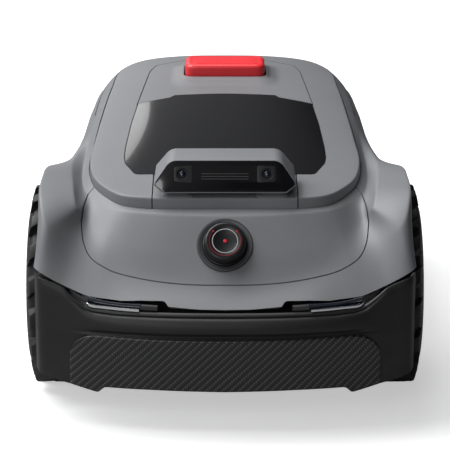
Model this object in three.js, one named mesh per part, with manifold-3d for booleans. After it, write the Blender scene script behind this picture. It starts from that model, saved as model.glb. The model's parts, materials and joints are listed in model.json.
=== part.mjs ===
// Robotic lawn mower: four driven wheels, a floating front bumper, a raised deck with a hinged
// control lid, a stop button, a stereo camera bar, a lidar head and a height-adjustable cutter.
// Millimetres, +Z up, the front faces -Y, the origin lies on the ground under the middle.
import * as THREE from 'three';
import { mergeVertices } from 'three/addons/utils/BufferGeometryUtils.js';
import Module from 'manifold-3d';

const wasm = await Module();
wasm.setup();

// ---------- driving dimensions ----------
const GAP = 0.35;                 // clearance between pieces that touch
const SEAM = 0.6;                 // half of a visible parting gap between panels
const WALL = 3;                   // thickness of the moulded panels
const RIM_DROP = 4;               // depth of the shell's rim beside the deck
const FRONT_Y = -320;             // foremost point, on the bumper face
const REAR_Y = 326;               // rearmost point, on the outer shell
const STEPS = 2;                  // stretches between two named stations around the body

const FRONT_AXLE = { y: -150, radius: 111, inner: 168, outer: 212, lug: 8, lugs: 18 };
const REAR_AXLE = { y: 165, radius: 98, inner: 118, outer: 166, lug: 7, lugs: 16 };
const ARCH_CLEARANCE = 5;         // free space round a tyre
const ARCH_SIDE = 2;              // free space beside its inner face
const HUB_RADIUS = 40;
const SIDES = 20;                 // facets of a wheel's round faces
const RIM_SHARE = 0.64;           // rim radius as a share of the wheel radius
const BULGE = 8;                  // how far the wheel disc stands out past the tread

const CHASSIS = { floor: 46, top: 128, wall: 3, front: -262, frontHalf: 140, frontEnd: -30, midHalf: 168,
  midEnd: 58, rearHalf: 106, tailStart: 272, tailHalf: 150, tailBend: 290, tailEndHalf: 125, tail: 316 };
const CHAMBER = { y: 0, radius: 112, ceiling: 96 };
const PILLAR = { x: 50, front: -98, back: 61, radius: 4 };   // posts from the hood up to the control tray
const DISC = { radius: 78, thick: 3, z: 40, boss: 18, bossRadius: 12 };
const BLADE = { count: 3, length: 30, width: 17, thick: 1.2, pivotRadius: 66, bore: 2.6, head: 6, headHigh: 2 };
const LIFT = { ring: 102, tall: 40, outer: 31, inner: 24, hole: 34, screw: 4, screwOff: 50, motorZ: 196,
  motorLow: 66, motorRadius: 14, arm: 9, armLow: 24, armHigh: 38, shaft: 5 };

const LIDAR = { y: -247, z: 188, up: 39, ring: 29.8, base: 24, face: 21.2, proud: 14, lip: 2, depth: 14 };
const LID = { front: -156.5, frontHalf: 70, chamferHalf: 99.5, chamferY: -147, wideHalf: 114, wideY: -84,
  rearHalf: 105.3, rearY: 95, notchOuter: [66.6, 113], notchInner: [61.2, 121], rearCentre: 125.5,
  pinRadius: 1.6, pinZ: 238, pinHalf: 60 };
const STOP = { half: 50, front: 184, back: 238, top: 281, bottom: 262, radius: 12, travel: 5, stem: 13,
  stemBottom: 232, plate: 236, plateHalf: 54, plateReach: 22, plateThick: 3, legX: 46, legRadius: 5,
  wire: 1.2, coils: 5 };
const COLLAR = { wide: 7, top: 270, bottom: 256, gap: 1 };
const TRAY = { half: 84, front: -112, back: 72, floor: 216, top: 232 };
const KEY = { radius: 9, pitch: 34, y: 20, travel: 1.5, height: 6, guide: 3 };
const KEYS = ['key_power', 'key_start', 'key_home'];
const BATTERY = { half: 95, front: 122, back: 188, height: 62 };
const BOARD = { half: 75, front: 224, back: 300, foot: 8 };
const CONTACT = { x: 32, half: 9, thick: 2, z: 92, high: 12 };
const RIM = { recess: 16 };        // inner side of a wheel disc, past the tread's inner face
const REAR_BULGE = 4;
const LUG = { footShare: 0.3, topShare: 0.21 };   // half widths of a lug as shares of the pitch

// ---------- helpers ----------
const parts = new THREE.Group();

const FINISH = {
  shell: [0x9a9ca1, 0.42, 0.35],
  dark: [0x1d1e20, 0.55, 0.1],
  gloss: [0x0b0b0d, 0.08, 0.0],
  carbon: [0x17181a, 0.3, 0.2],
  red: [0xe8303c, 0.4, 0.0],
  rubber: [0x151617, 0.85, 0.0],
  steel: [0xc4c6c9, 0.25, 1.0],
  chrome: [0xe6e8ea, 0.08, 1.0],
  lens: [0x1b2440, 0.06, 0.0],
  board: [0x14532d, 0.5, 0.1],
  battery: [0x2d3036, 0.6, 0.0],
  keycap: [0x55585e, 0.5, 0.0],
};

function solid(geometry) {
  const bare = geometry.clone();
  bare.deleteAttribute('normal');
  bare.deleteAttribute('uv');
  const merged = mergeVertices(bare, 1e-4);
  return new wasm.Manifold(new wasm.Mesh({
    numProp: 3,
    vertProperties: new Float32Array(merged.attributes.position.array),
    triVerts: new Uint32Array(merged.index.array),
  }));
}

function geometryOf(manifold) {
  const mesh = manifold.getMesh();
  const geometry = new THREE.BufferGeometry();
  geometry.setAttribute('position', new THREE.BufferAttribute(new Float32Array(mesh.vertProperties), 3));
  geometry.setIndex(new THREE.BufferAttribute(new Uint32Array(mesh.triVerts), 1));
  return geometry;
}

function place(name, shape, finish) {
  const geometry = shape.isBufferGeometry ? shape : geometryOf(shape);
  geometry.computeVertexNormals();
  const [color, roughness, metalness] = FINISH[finish];
  const mesh = new THREE.Mesh(geometry, new THREE.MeshStandardMaterial({ color, roughness, metalness }));
  mesh.name = name;
  parts.add(mesh);
}

const v2 = ([x, y]) => new THREE.Vector2(x, y);

function mirrored(half) {
  const left = half.filter(([x]) => x > 0).map(([x, y]) => [-x, y]).reverse();
  return [...half, ...left];
}

function prism(outline, z0, z1) {
  const shape = new THREE.Shape(outline.map(v2));
  const geometry = new THREE.ExtrudeGeometry(shape, { depth: z1 - z0, bevelEnabled: false });
  return solid(geometry.translate(0, 0, z0));
}

function roundedOutline(x0, y0, x1, y1, radius, steps = 5) {
  const corners = [[x1, y0, -90], [x1, y1, 0], [x0, y1, 90], [x0, y0, 180]];
  const points = [];
  for (const [cx, cy, start] of corners) {
    const mx = cx + (cx === x1 ? -radius : radius);
    const my = cy + (cy === y1 ? -radius : radius);
    for (let i = 0; i <= steps; i += 1) {
      const angle = THREE.MathUtils.degToRad(start + (90 * i) / steps);
      points.push([mx + radius * Math.cos(angle), my + radius * Math.sin(angle)]);
    }
  }
  return points;
}

function box(x0, x1, y0, y1, z0, z1) {
  const geometry = new THREE.BoxGeometry(x1 - x0, y1 - y0, z1 - z0);
  return solid(geometry.translate((x0 + x1) / 2, (y0 + y1) / 2, (z0 + z1) / 2));
}

// A round solid about the Z axis at (x, y), from z0 to z1.
function post(x, y, z0, z1, radius, sides = 32) {
  const geometry = new THREE.CylinderGeometry(radius, radius, z1 - z0, sides);
  return solid(geometry.rotateX(Math.PI / 2).translate(x, y, (z0 + z1) / 2));
}

// A round solid about an axis along X at (y, z), from x0 to x1.
function bar(x0, x1, y, z, radius, sides = 32) {
  const geometry = new THREE.CylinderGeometry(radius, radius, x1 - x0, sides);
  return solid(geometry.rotateZ(Math.PI / 2).translate((x0 + x1) / 2, y, z));
}

// A solid between two matching rings of points.
function bridge(front, back) {
  const count = front.length;
  const rings = [...front, ...back];
  const index = [];
  for (let i = 0; i < count; i += 1) {
    const j = (i + 1) % count;
    index.push(i, j, count + j, i, count + j, count + i);
  }
  for (let i = 1; i < count - 1; i += 1) {
    index.push(0, i + 1, i, count, count + i, count + i + 1);
  }
  const geometry = new THREE.BufferGeometry();
  geometry.setAttribute('position', new THREE.Float32BufferAttribute(rings.flat(), 3));
  geometry.setIndex(index);
  return solid(geometry);
}

// A closed skin of the given thickness behind a grid of outer points. The grid is a list of
// rows from top to bottom; with loop set, each row closes on itself, and with plumbRim set, the
// first row's inner points lie straight below its outer ones.
function skin(rows, thickness, { loop = false, plumbRim = false } = {}) {
  const rowCount = rows.length;
  const count = rows[0].length;
  const at = (r, c) => rows[Math.min(Math.max(r, 0), rowCount - 1)][loop
    ? (c + count) % count
    : Math.min(Math.max(c, 0), count - 1)];
  const inner = rows.map((row, r) => row.map((point, c) => {
    if (plumbRim && r === 0) return point.clone().setZ(point.z - RIM_DROP);
    const along = at(r, c + 1).clone().sub(at(r, c - 1));
    const down = at(r + 1, c).clone().sub(at(r - 1, c));
    const normal = along.cross(down).normalize();
    return point.clone().addScaledVector(normal, thickness);
  }));
  const points = [...rows.flat(), ...inner.flat()];
  const offset = rowCount * count;
  const id = (layer, r, c) => layer * offset + r * count + (c % count);
  const index = [];
  const quad = (a, b, c, d) => index.push(a, b, c, a, c, d);
  const columns = loop ? count : count - 1;
  for (let c = 0; c < columns; c += 1) {
    for (let r = 0; r < rowCount - 1; r += 1) {
      quad(id(0, r, c), id(0, r + 1, c), id(0, r + 1, c + 1), id(0, r, c + 1));
      quad(id(1, r, c), id(1, r, c + 1), id(1, r + 1, c + 1), id(1, r + 1, c));
    }
    quad(id(0, 0, c), id(0, 0, c + 1), id(1, 0, c + 1), id(1, 0, c));
    const last = rowCount - 1;
    quad(id(0, last, c), id(1, last, c), id(1, last, c + 1), id(0, last, c + 1));
  }
  if (!loop) {
    const end = count - 1;
    for (let r = 0; r < rowCount - 1; r += 1) {
      quad(id(0, r, 0), id(1, r, 0), id(1, r + 1, 0), id(0, r + 1, 0));
      quad(id(0, r, end), id(0, r + 1, end), id(1, r + 1, end), id(1, r, end));
    }
  }
  const geometry = new THREE.BufferGeometry();
  geometry.setAttribute('position', new THREE.Float32BufferAttribute(
    points.flatMap((p) => [p.x, p.y, p.z]), 3));
  geometry.setIndex(index);
  return solid(geometry);
}

// ---------- body surface ----------
// Stations run from the front centre (first) round the right side to the rear centre (last).
// Each row gives one named station: deck edge, then the outer shell's ledge, slope, shoulder
// and hem. The deck edge takes its height from deckZ.
const STATIONS = [
  { edge: [0, -213], ledge: [0, -226, 215], slope: [0, -250, 184],
    shoulder: [0, -277, 152], hem: [0, -303, 134] },
  { edge: [80, -212], ledge: [80, -221, 216], slope: [84, -246, 186],
    shoulder: [88, -268, 159], hem: [88, -296, 141] },
  { edge: [112, -203], ledge: [116, -211, 217], slope: [124, -232, 194],
    shoulder: [128, -255, 171], hem: [130, -288, 141.5] },
  { edge: [135, -174], ledge: [142, -182, 219], slope: [152, -205, 206],
    shoulder: [160, -240, 186], hem: [168, -275, 150.5] },
  { edge: [145, -150], ledge: [153, -160, 221], slope: [160, -211, 219],
    shoulder: [190, -243, 209], hem: [202.5, -264, 167] },
  { edge: [149, -130], ledge: [158, -136, 222], slope: [165, -188, 230],
    shoulder: [201.5, -208, 232], hem: [203.5, -228, 165] },
  { edge: [152, -103], ledge: [160.5, -108, 224], slope: [170, -140, 233],
    shoulder: [202.5, -150, 238], hem: [204.5, -152, 160] },
  { edge: [152.5, -75], ledge: [161, -76, 227], slope: [173.5, -92, 233],
    shoulder: [200, -101, 234], hem: [203, -95, 150] },
  { edge: [151, -40], ledge: [160, -38, 229], slope: [173, -42, 230],
    shoulder: [181, -42, 217], hem: [185, -36, 122] },
  { edge: [147, 60], ledge: [157, 60, 238], slope: [167, 60, 225],
    shoulder: [173.5, 60, 206], hem: [176, 60, 122] },
  { edge: [141, 180], ledge: [151, 180, 243], slope: [161, 181, 230],
    shoulder: [168, 182, 210], hem: [172, 184, 122] },
  { edge: [132, 272], ledge: [140, 279, 245], slope: [149, 286, 231],
    shoulder: [157, 292, 210], hem: [162, 296, 122] },
  { edge: [110, 306], ledge: [118, 312, 247], slope: [126, 317, 232],
    shoulder: [132, 320, 210], hem: [136, 322, 122] },
  { edge: [60, 313], ledge: [64, 318, 248.5], slope: [68, 322, 233],
    shoulder: [72, 324, 210], hem: [74, 325.5, 122] },
  { edge: [0, 314], ledge: [0, 319, 249], slope: [0, 323, 233],
    shoulder: [0, 325, 210], hem: [0, REAR_Y, 122] },
];
const STEP_HEIGHT = [9, 9, 9, 8, 8, 8, 8, 8, 7, 3, 1.5, 1.5, 1.5, 1.5, 1.5];   // deck edge above shell rim
const DECK = { z: 245, rise: 0.056, sag: 0.00008, crown: 6, crownRise: 0.02, half: 149, taper: 0.045,
  dropFrom: 220, drop: 4, dropSpan: 86, skirt: 3, draft: 1.2, groove: 0.8 };

// Height of the deck's top surface at a point of the plan.
function deckZ(x, y) {
  const half = DECK.half - DECK.taper * y;
  const edge = DECK.z + DECK.rise * y - DECK.sag * y * y;
  const crown = (DECK.crown + DECK.crownRise * y) * (1 - Math.abs(x / half) ** 3);
  const drop = y > DECK.dropFrom ? DECK.drop * ((y - DECK.dropFrom) / DECK.dropSpan) ** 2 : 0;
  return edge + crown - drop;
}

// A closed run of points through one value per station, mirrored to the left side.
function ringThrough(half) {
  const right = half.map(([x, y, z]) => new THREE.Vector3(x, y, z));
  const left = half.slice(1, -1).map(([x, y, z]) => new THREE.Vector3(-x, y, z)).reverse();
  const curve = new THREE.CatmullRomCurve3([...right, ...left], true, 'centripetal');
  const count = (right.length + left.length) * STEPS;
  return Array.from({ length: count }, (_, i) => curve.getPoint(i / count));
}

function deckEdge(out, lower) {
  return ringThrough(STATIONS.map(({ edge: [x, y] }, i) => {
    const length = Math.hypot(x, y);
    const ox = x + (out * x) / length;
    const oy = y + (out * y) / length;
    return [ox, oy, deckZ(x, y) - (Array.isArray(lower) ? lower[i] : lower)];
  }));
}

function bodyRings() {
  const levels = [
    deckEdge(DECK.draft + DECK.groove, STEP_HEIGHT),
    ...['ledge', 'slope', 'shoulder', 'hem'].map((name) => ringThrough(STATIONS.map((s) => s[name]))),
  ];
  const rings = [];
  const last = levels.length - 1;
  for (let i = 0; i < last; i += 1) {
    rings.push(levels[i]);
    if (i === 0 || i === last - 1) continue;
    rings.push(levels[i].map((_, c) => {
      const before = levels[Math.max(i - 1, 0)][c];
      const after = levels[Math.min(i + 2, last)][c];
      const middle = levels[i][c].clone().add(levels[i + 1][c]).multiplyScalar(9 / 16);
      return middle.addScaledVector(before, -1 / 16).addScaledVector(after, -1 / 16);
    }));
  }
  rings.push(levels[last]);
  return rings;
}

// The deck with its skirt as one closed skin.
function deckSkin() {
  const edge = deckEdge(0, 0);
  const bend = deckEdge(DECK.draft, 1.5);
  const foot = deckEdge(DECK.draft, STEP_HEIGHT.map((height) => height + DECK.skirt));
  const shares = [0.04, 0.25, 0.55, 0.85];
  const spine = edge.map((p) => new THREE.Vector2(0, p.y * 0.72));
  const rings = shares.map((share) => edge.map((p, i) => {
    const x = THREE.MathUtils.lerp(p.x, spine[i].x, share);
    const y = THREE.MathUtils.lerp(p.y, spine[i].y, share);
    return new THREE.Vector3(x, y, deckZ(x, y));
  }));
  return { foot, bend, edge, rings };
}

// A closed solid between rings, lowest first; the first and last are capped across the middle.
function cappedSolid(rows) {
  const count = rows[0].length;
  const index = [];
  for (let r = 0; r < rows.length - 1; r += 1) {
    for (let c = 0; c < count; c += 1) {
      const a = r * count + c;
      const b = r * count + ((c + 1) % count);
      index.push(a, b, b + count, a, b + count, a + count);
    }
  }
  const top = (rows.length - 1) * count;
  for (let c = 0; c < count / 2; c += 1) {
    const next = c + 1;
    const left = (count - c) % count;
    const nextLeft = count - next;
    if (next !== nextLeft) {
      index.push(top + c, top + next, top + nextLeft);
      index.push(c, nextLeft, next);
    }
    if (left !== c) {
      index.push(top + c, top + nextLeft, top + left);
      index.push(c, left, nextLeft);
    }
  }
  const geometry = new THREE.BufferGeometry();
  const values = rows.flat().flatMap((p) => [p.x, p.y, p.z]);
  geometry.setAttribute('position', new THREE.Float32BufferAttribute(values, 3));
  geometry.setIndex(index);
  return solid(geometry);
}

// The same solid hollowed from below, with a skin of the given thickness.
function cappedSkin(rows, thickness) {
  const lower = rows.map((row) => row.map((p) => {
    const share = 1 - thickness / Math.hypot(p.x, p.y);
    return new THREE.Vector3(p.x * share, p.y * share, p.z - thickness);
  }));
  return cappedSolid(rows).subtract(cappedSolid(lower));
}

// The outline moved out by a distance, or in where the distance is negative.
function grown(outline, distance) {
  const count = outline.length;
  return outline.map(([x, y], i) => {
    const [px, py] = outline[(i + count - 1) % count];
    const [nx, ny] = outline[(i + 1) % count];
    const a = new THREE.Vector2(y - py, px - x).normalize();
    const b = new THREE.Vector2(ny - y, x - nx).normalize();
    const middle = a.clone().add(b).normalize();
    const reach = distance / Math.max(middle.dot(a), 0.3);
    return [x + middle.x * reach, y + middle.y * reach];
  });
}

const BELOW = -20;
const ABOVE = 320;
const column = (outline) => prism(outline, BELOW, ABOVE);

// ---------- panels ----------
const NOSE_OUTLINE = mirrored([[0, -276], [48, -273], [97, -263], [126, -254], [146, -243], [155, -231],
  [160, -213], [153, -166], [143.5, -183], [117, -212.5], [80, -222], [0, -226.5]]);
const LID_OUTLINE = mirrored([[0, LID.front], [LID.frontHalf, LID.front], [LID.frontHalf + 11, LID.chamferY],
  [LID.chamferHalf, LID.chamferY], [LID.wideHalf - 2, LID.wideY - 28], [LID.wideHalf, LID.wideY - 7],
  [LID.wideHalf, LID.wideY + 7], [LID.rearHalf, LID.rearY], LID.notchOuter, LID.notchInner, [0, LID.rearCentre]]);
const REAR_PANEL_OUTLINE = mirrored([[0, 60], [LID.rearHalf + 1, LID.rearY - 4], [95.2, 230], [88.4, 256],
  [79.7, 266], [47, 280], [0, 283]]);
const CAMERA_BASE = { half: 79, front: -240 };
const SIDE_COVER_OUTLINE = [[130, 105], [158.5, 105], [156.5, 200], [150, 256], [141, 286], [131, 307],
  [104, 285], [120, 240]];

function archCuts() {
  let cuts = null;
  for (const axle of [FRONT_AXLE, REAR_AXLE]) {
    for (const side of [1, -1]) {
      const near = side * (axle.inner - ARCH_SIDE);
      const far = side * (FRONT_AXLE.outer + 30);
      const radius = axle.radius + ARCH_CLEARANCE;
      const cut = bar(Math.min(near, far), Math.max(near, far), axle.y, axle.radius, radius, 40);
      cuts = cuts ? cuts.add(cut) : cut;
    }
  }
  return cuts;
}

// A round solid about the lidar's axis, from one distance to another past the nose surface.
function lidarRound(from, to, radiusFrom, radiusTo = radiusFrom, sides = 32) {
  const geometry = new THREE.CylinderGeometry(radiusTo, radiusFrom, to - from, sides);
  geometry.rotateX(Math.PI / 2).translate(0, 0, (from + to) / 2);
  return solid(geometry).rotate([90 - LIDAR.up, 0, 0]).translate([0, LIDAR.y, LIDAR.z]);
}

function makeShells() {
  const body = skin(bodyRings(), WALL, { loop: true, plumbRim: true }).subtract(archCuts());
  const noseHole = lidarRound(-20, 20, LIDAR.base + GAP).add(lidarRound(-1, 20, LIDAR.ring + GAP));
  const right = SIDE_COVER_OUTLINE;
  const left = SIDE_COVER_OUTLINE.map(([x, y]) => [-x, y]).reverse();
  const shell = body.subtract(column(grown(NOSE_OUTLINE, SEAM)))
    .subtract(column(grown(right, SEAM))).subtract(column(grown(left, SEAM)));
  place('outer_shell', shell, 'shell');
  const nose = body.intersect(prism(NOSE_OUTLINE, 140, 240)).subtract(noseHole);
  place('nose_panel', nose, 'shell');
  place('side_cover_right', body.intersect(prism(right, 206, 290)), 'shell');
  place('side_cover_left', body.intersect(prism(left, 206, 290)), 'shell');
}

function makeDeck() {
  const { foot, bend, edge, rings } = deckSkin();
  const deck = cappedSkin([foot, bend, edge, ...rings], WALL);
  const lidRegion = column(LID_OUTLINE);
  const lidHole = column(grown(LID_OUTLINE, 2 * SEAM));
  const rearRegion = column(REAR_PANEL_OUTLINE);
  const rearHole = column(grown(REAR_PANEL_OUTLINE, 2 * SEAM));
  const base = box(-CAMERA_BASE.half, CAMERA_BASE.half, CAMERA_BASE.front, 0, BELOW, ABOVE);
  const seam = 2 * SEAM;
  const baseHole = box(-CAMERA_BASE.half - seam, CAMERA_BASE.half + seam, CAMERA_BASE.front, 0, BELOW, ABOVE);
  const pinRoom = bar(-LID.pinHalf - 1, LID.pinHalf + 1, LID.front + LID.pinRadius, LID.pinZ,
    LID.pinRadius + 2 * GAP, 16);
  place('deck_panel', deck.subtract(lidHole).subtract(rearHole).subtract(baseHole), 'shell');
  const [legRight, legLeft] = cameraLegs();
  place('camera_base', deck.intersect(base).subtract(lidHole).add(legRight).add(legLeft), 'shell');
  place('control_lid', deck.intersect(lidRegion).subtract(pinRoom), 'gloss');
  place('lid_hinge_pin', bar(-LID.pinHalf, LID.pinHalf, LID.front + LID.pinRadius, LID.pinZ,
    LID.pinRadius, 16), 'steel');
  const collar = prism(collarOutline(COLLAR.wide), COLLAR.bottom, COLLAR.top);
  const rearPanel = deck.intersect(rearRegion).subtract(lidHole).add(collar)
    .subtract(column(collarOutline(COLLAR.gap)));
  place('rear_panel', rearPanel, 'shell');
}

const collarOutline = (wide) => roundedOutline(-STOP.half - wide, STOP.front - wide, STOP.half + wide,
  STOP.back + wide, STOP.radius + wide);

function springAlong(start, direction, length, radius, wire, turns) {
  class Helix extends THREE.Curve {
    getPoint(t) {
      const angle = 2 * Math.PI * turns * t;
      const local = new THREE.Vector3(radius * Math.cos(angle), radius * Math.sin(angle), length * t);
      const turn = new THREE.Quaternion().setFromUnitVectors(new THREE.Vector3(0, 0, 1), direction);
      return local.applyQuaternion(turn).add(start);
    }
  }
  const shape = new THREE.Shape([[wire, 0], [0, wire], [-wire, 0], [0, -wire]].map(v2));
  return new THREE.ExtrudeGeometry(shape, { steps: turns * 10, extrudePath: new Helix() });
}

function makeStopButton() {
  const middle = (STOP.front + STOP.back) / 2;
  const cap = prism(collarOutline(0), STOP.bottom, STOP.top);
  const stem = post(0, middle, STOP.stemBottom, STOP.bottom + 1, STOP.stem, 24);
  place('stop_button', cap.add(stem), 'red');
  const plate = box(-STOP.plateHalf, STOP.plateHalf, middle - STOP.plateReach, middle + STOP.plateReach,
    STOP.plate - STOP.plateThick, STOP.plate);
  const legFoot = CHASSIS.floor + CHASSIS.wall + GAP;
  const legs = [-STOP.legX, STOP.legX].map((x) => post(x, middle, legFoot, STOP.plate - 1, STOP.legRadius, 16));
  const bore = post(0, middle, STOP.plate - 5, STOP.plate + 5, STOP.stem + 1, 24);
  place('stop_bracket', plate.add(legs[0]).add(legs[1]).subtract(bore), 'dark');
  const springFoot = STOP.plate + GAP + STOP.wire;
  const room = STOP.bottom - STOP.travel - springFoot - STOP.wire - GAP;
  place('stop_spring', springAlong(new THREE.Vector3(0, middle, springFoot),
    new THREE.Vector3(0, 0, 1), room, STOP.stem + 4, STOP.wire, STOP.coils), 'steel');
}

// ---------- camera bar ----------
const CAMERA = { faceBottom: [-215, 236], faceTop: [-199, 270], backY: -164, topHalf: 54, wideHalf: 73,
  lowHalf: 65, wideZ: 243, rise: [4, 7, 8], rimWidth: 2.2, glass: 2.6, lensX: 46, lensZ: 251, lensRadius: 7.5 };
const LEG = { inner: 40, outer: 63, front: -206, back: -170, root: 1.5 };

function faceY(z) {
  const [y0, z0] = CAMERA.faceBottom;
  const [y1, z1] = CAMERA.faceTop;
  return y0 + ((z - z0) * (y1 - y0)) / (z1 - z0);
}

function cameraRing(inset, shift) {
  const bottom = CAMERA.faceBottom[1] + inset;
  const top = CAMERA.faceTop[1] - inset;
  const right = [[CAMERA.topHalf - inset * 0.6, top], [CAMERA.wideHalf - inset, CAMERA.wideZ],
    [CAMERA.lowHalf - inset * 0.6, bottom]];
  const left = right.map(([x, z]) => [-x, z]).reverse();
  return [...right, ...left].map(([x, z]) => [x, faceY(z) + shift, z]);
}

function makeCamera() {
  const front = cameraRing(0, 0);
  const back = front.map(([x, , z], i) => [x * 0.98, CAMERA.backY, z + CAMERA.rise[i < 3 ? i : 5 - i]]);
  const pocketInset = CAMERA.rimWidth - GAP;
  const pocket = bridge(cameraRing(pocketInset, -6), cameraRing(pocketInset, CAMERA.glass + GAP));
  place('camera_housing', bridge(front, back).subtract(pocket), 'shell');
  let glass = bridge(cameraRing(CAMERA.rimWidth, 0.2), cameraRing(CAMERA.rimWidth, CAMERA.glass));
  const lensY = faceY(CAMERA.lensZ);
  const lean = Math.atan2(CAMERA.faceTop[0] - CAMERA.faceBottom[0], CAMERA.faceTop[1] - CAMERA.faceBottom[1]);
  const disc = (x, from, to, radius) => {
    const geometry = new THREE.CylinderGeometry(radius, radius, to - from, 20);
    geometry.translate(0, (from + to) / 2, 0).rotateX(-lean).translate(x, lensY, CAMERA.lensZ);
    return solid(geometry);
  };
  for (const [side, x] of [['right', CAMERA.lensX], ['left', -CAMERA.lensX]]) {
    glass = glass.subtract(disc(x, -8, 8, CAMERA.lensRadius + GAP));
    place(`camera_lens_${side}`, disc(x, -0.3, CAMERA.glass - 0.6, CAMERA.lensRadius), 'lens');
  }
  place('camera_window', glass, 'gloss');
}

// The two legs under the camera bar, as one pair of solids that stand in the deck's skin.
function cameraLegs() {
  const undersideZ = (y) => {
    const share = (y - CAMERA.faceBottom[0]) / (CAMERA.backY - CAMERA.faceBottom[0]);
    return CAMERA.faceBottom[1] + share * CAMERA.rise[2] - GAP;
  };
  return [1, -1].map((side) => {
    const outline = [[LEG.inner, LEG.front], [LEG.outer, LEG.front], [LEG.outer, LEG.back], [LEG.inner, LEG.back]];
    const ordered = side > 0 ? outline : outline.reverse();
    const bottom = ordered.map(([x, y]) => [side * x, y, deckZ(x, y) - LEG.root]);
    const top = ordered.map(([x, y]) => [side * x, y, undersideZ(y)]);
    return bridge(bottom, top);
  });
}

// ---------- lidar ----------
function makeLidar() {
  const bezel = lidarRound(-1 + GAP, LIDAR.lip, LIDAR.ring)
    .subtract(lidarRound(-5, 5, LIDAR.base + GAP));
  place('lidar_bezel', bezel, 'dark');
  const head = lidarRound(0, LIDAR.proud, LIDAR.base, LIDAR.face);
  place('lidar_head', lidarRound(-LIDAR.depth, 0.5, LIDAR.base).add(head), 'gloss');
}

// ---------- front bumper and headlights ----------
// Rows of points across the front, from the left end to the right end.
function frontRow(half) {
  const right = half.map(([x, y, z]) => new THREE.Vector3(x, y, z));
  const left = half.slice(1).map(([x, y, z]) => new THREE.Vector3(-x, y, z)).reverse();
  const curve = new THREE.CatmullRomCurve3([...left, ...right], false, 'centripetal');
  const count = (left.length + right.length - 1) * STEPS;
  return Array.from({ length: count + 1 }, (_, i) => curve.getPoint(i / count));
}

// Stations of the bumper from the middle to one end: x, setback at the widest row, top and bottom z.
const FACE = { half: 165, top: 105, bottom: 44, thick: 2.1, cornerDrop: 22 };
const FACE_STAND = FACE.thick + 3 * GAP;
const BUMPER = [
  { x: 0, back: 0, top: 130.8, low: 46 },
  { x: 62, back: 2, top: 131.2, low: 46 },
  { x: 110, back: 8.5, top: 132.5, low: 46 },
  { x: 148, back: 17.5, top: 137, low: 44 },
  { x: 178, back: 27, top: 155, low: 49 },
  { x: 198, back: 34, top: 162, low: 54 },
  { x: 203.5, back: 46, top: 164, low: 57 },
].map((s) => ({ ...s, y: FRONT_Y + FACE_STAND + s.back }));
// The rows lean back by these amounts at the middle and by less towards the ends.
const BUMPER_SHAPE = { lean: 12, brow: 117, browLean: 5, wide: 106, lowLean: 2.5, fadeHalf: 260, wall: 3 };
const MOUNT = { x: 92, z: 88, peg: 4, pegEnd: -272, coil: 8, coilLength: 24, coils: 4, wire: 1.1 };

function makeBumper() {
  const fade = (x) => 1 - (x / BUMPER_SHAPE.fadeHalf) ** 2;
  const row = (lean, z) => frontRow(BUMPER.map((s) => [s.x, s.y + lean * fade(s.x), z(s)]));
  const top = row(BUMPER_SHAPE.lean, (s) => s.top);
  const brow = row(BUMPER_SHAPE.browLean, (s) => Math.min(s.top - 4, BUMPER_SHAPE.brow + s.top / 20));
  const wide = row(0, () => BUMPER_SHAPE.wide);
  const low = row(BUMPER_SHAPE.lowLean, (s) => s.low);
  let shell = skin([top, brow, wide, low], BUMPER_SHAPE.wall);
  for (const x of [-MOUNT.x, MOUNT.x]) {
    const peg = post(x, MOUNT.z, -MOUNT.pegEnd, -BUMPER[2].y, MOUNT.peg, 16).rotate([90, 0, 0]);
    shell = shell.add(peg);
  }
  place('front_bumper', shell, 'dark');
  const faceAt = (x, z) => {
    const i = Math.min(BUMPER.findIndex((s) => s.x >= x), BUMPER.length - 1);
    const a = BUMPER[Math.max(i - 1, 0)];
    const b = BUMPER[i];
    const share = b.x === a.x ? 0 : (x - a.x) / (b.x - a.x);
    const slope = BUMPER_SHAPE.lowLean * (BUMPER_SHAPE.wide - z) / (BUMPER_SHAPE.wide - a.low);
    return THREE.MathUtils.lerp(a.y, b.y, share) + slope * fade(x);
  };
  const xs = [0, 62, 110, 148, FACE.half];
  const faceRow = (share) => frontRow(xs.map((x) => {
    const high = FACE.top - (x === FACE.half ? FACE.cornerDrop : 0) - (x === 148 ? 3 : 0);
    const z = THREE.MathUtils.lerp(high, x > 120 ? FACE.bottom + 4 : FACE.bottom, share);
    return [x, faceAt(x, Math.max(z, 47)) - FACE_STAND, z];
  }));
  place('bumper_face', skin([faceRow(0), faceRow(0.5), faceRow(1)], FACE.thick), 'carbon');
  for (const [side, x] of [['right', MOUNT.x], ['left', -MOUNT.x]]) {
    const start = new THREE.Vector3(x, CHASSIS.front - GAP - MOUNT.wire, MOUNT.z);
    place(`bumper_spring_${side}`, springAlong(start, new THREE.Vector3(0, -1, 0),
      MOUNT.coilLength, MOUNT.coil, MOUNT.wire, MOUNT.coils), 'steel');
  }
}

const LIGHT = { from: 90, to: 146, stations: 4, behindHem: 9, thick: 4, top: 2.5, bottom: 17,
  trimTop: 9, trimBottom: 12.5, trimThick: 1.5 };

function hemAt(x) {
  const i = STATIONS.findIndex((s) => s.hem[0] >= x);
  const a = STATIONS[i - 1].hem;
  const b = STATIONS[i].hem;
  const share = (x - a[0]) / (b[0] - a[0]);
  return [THREE.MathUtils.lerp(a[1], b[1], share), THREE.MathUtils.lerp(a[2], b[2], share)];
}

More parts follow.
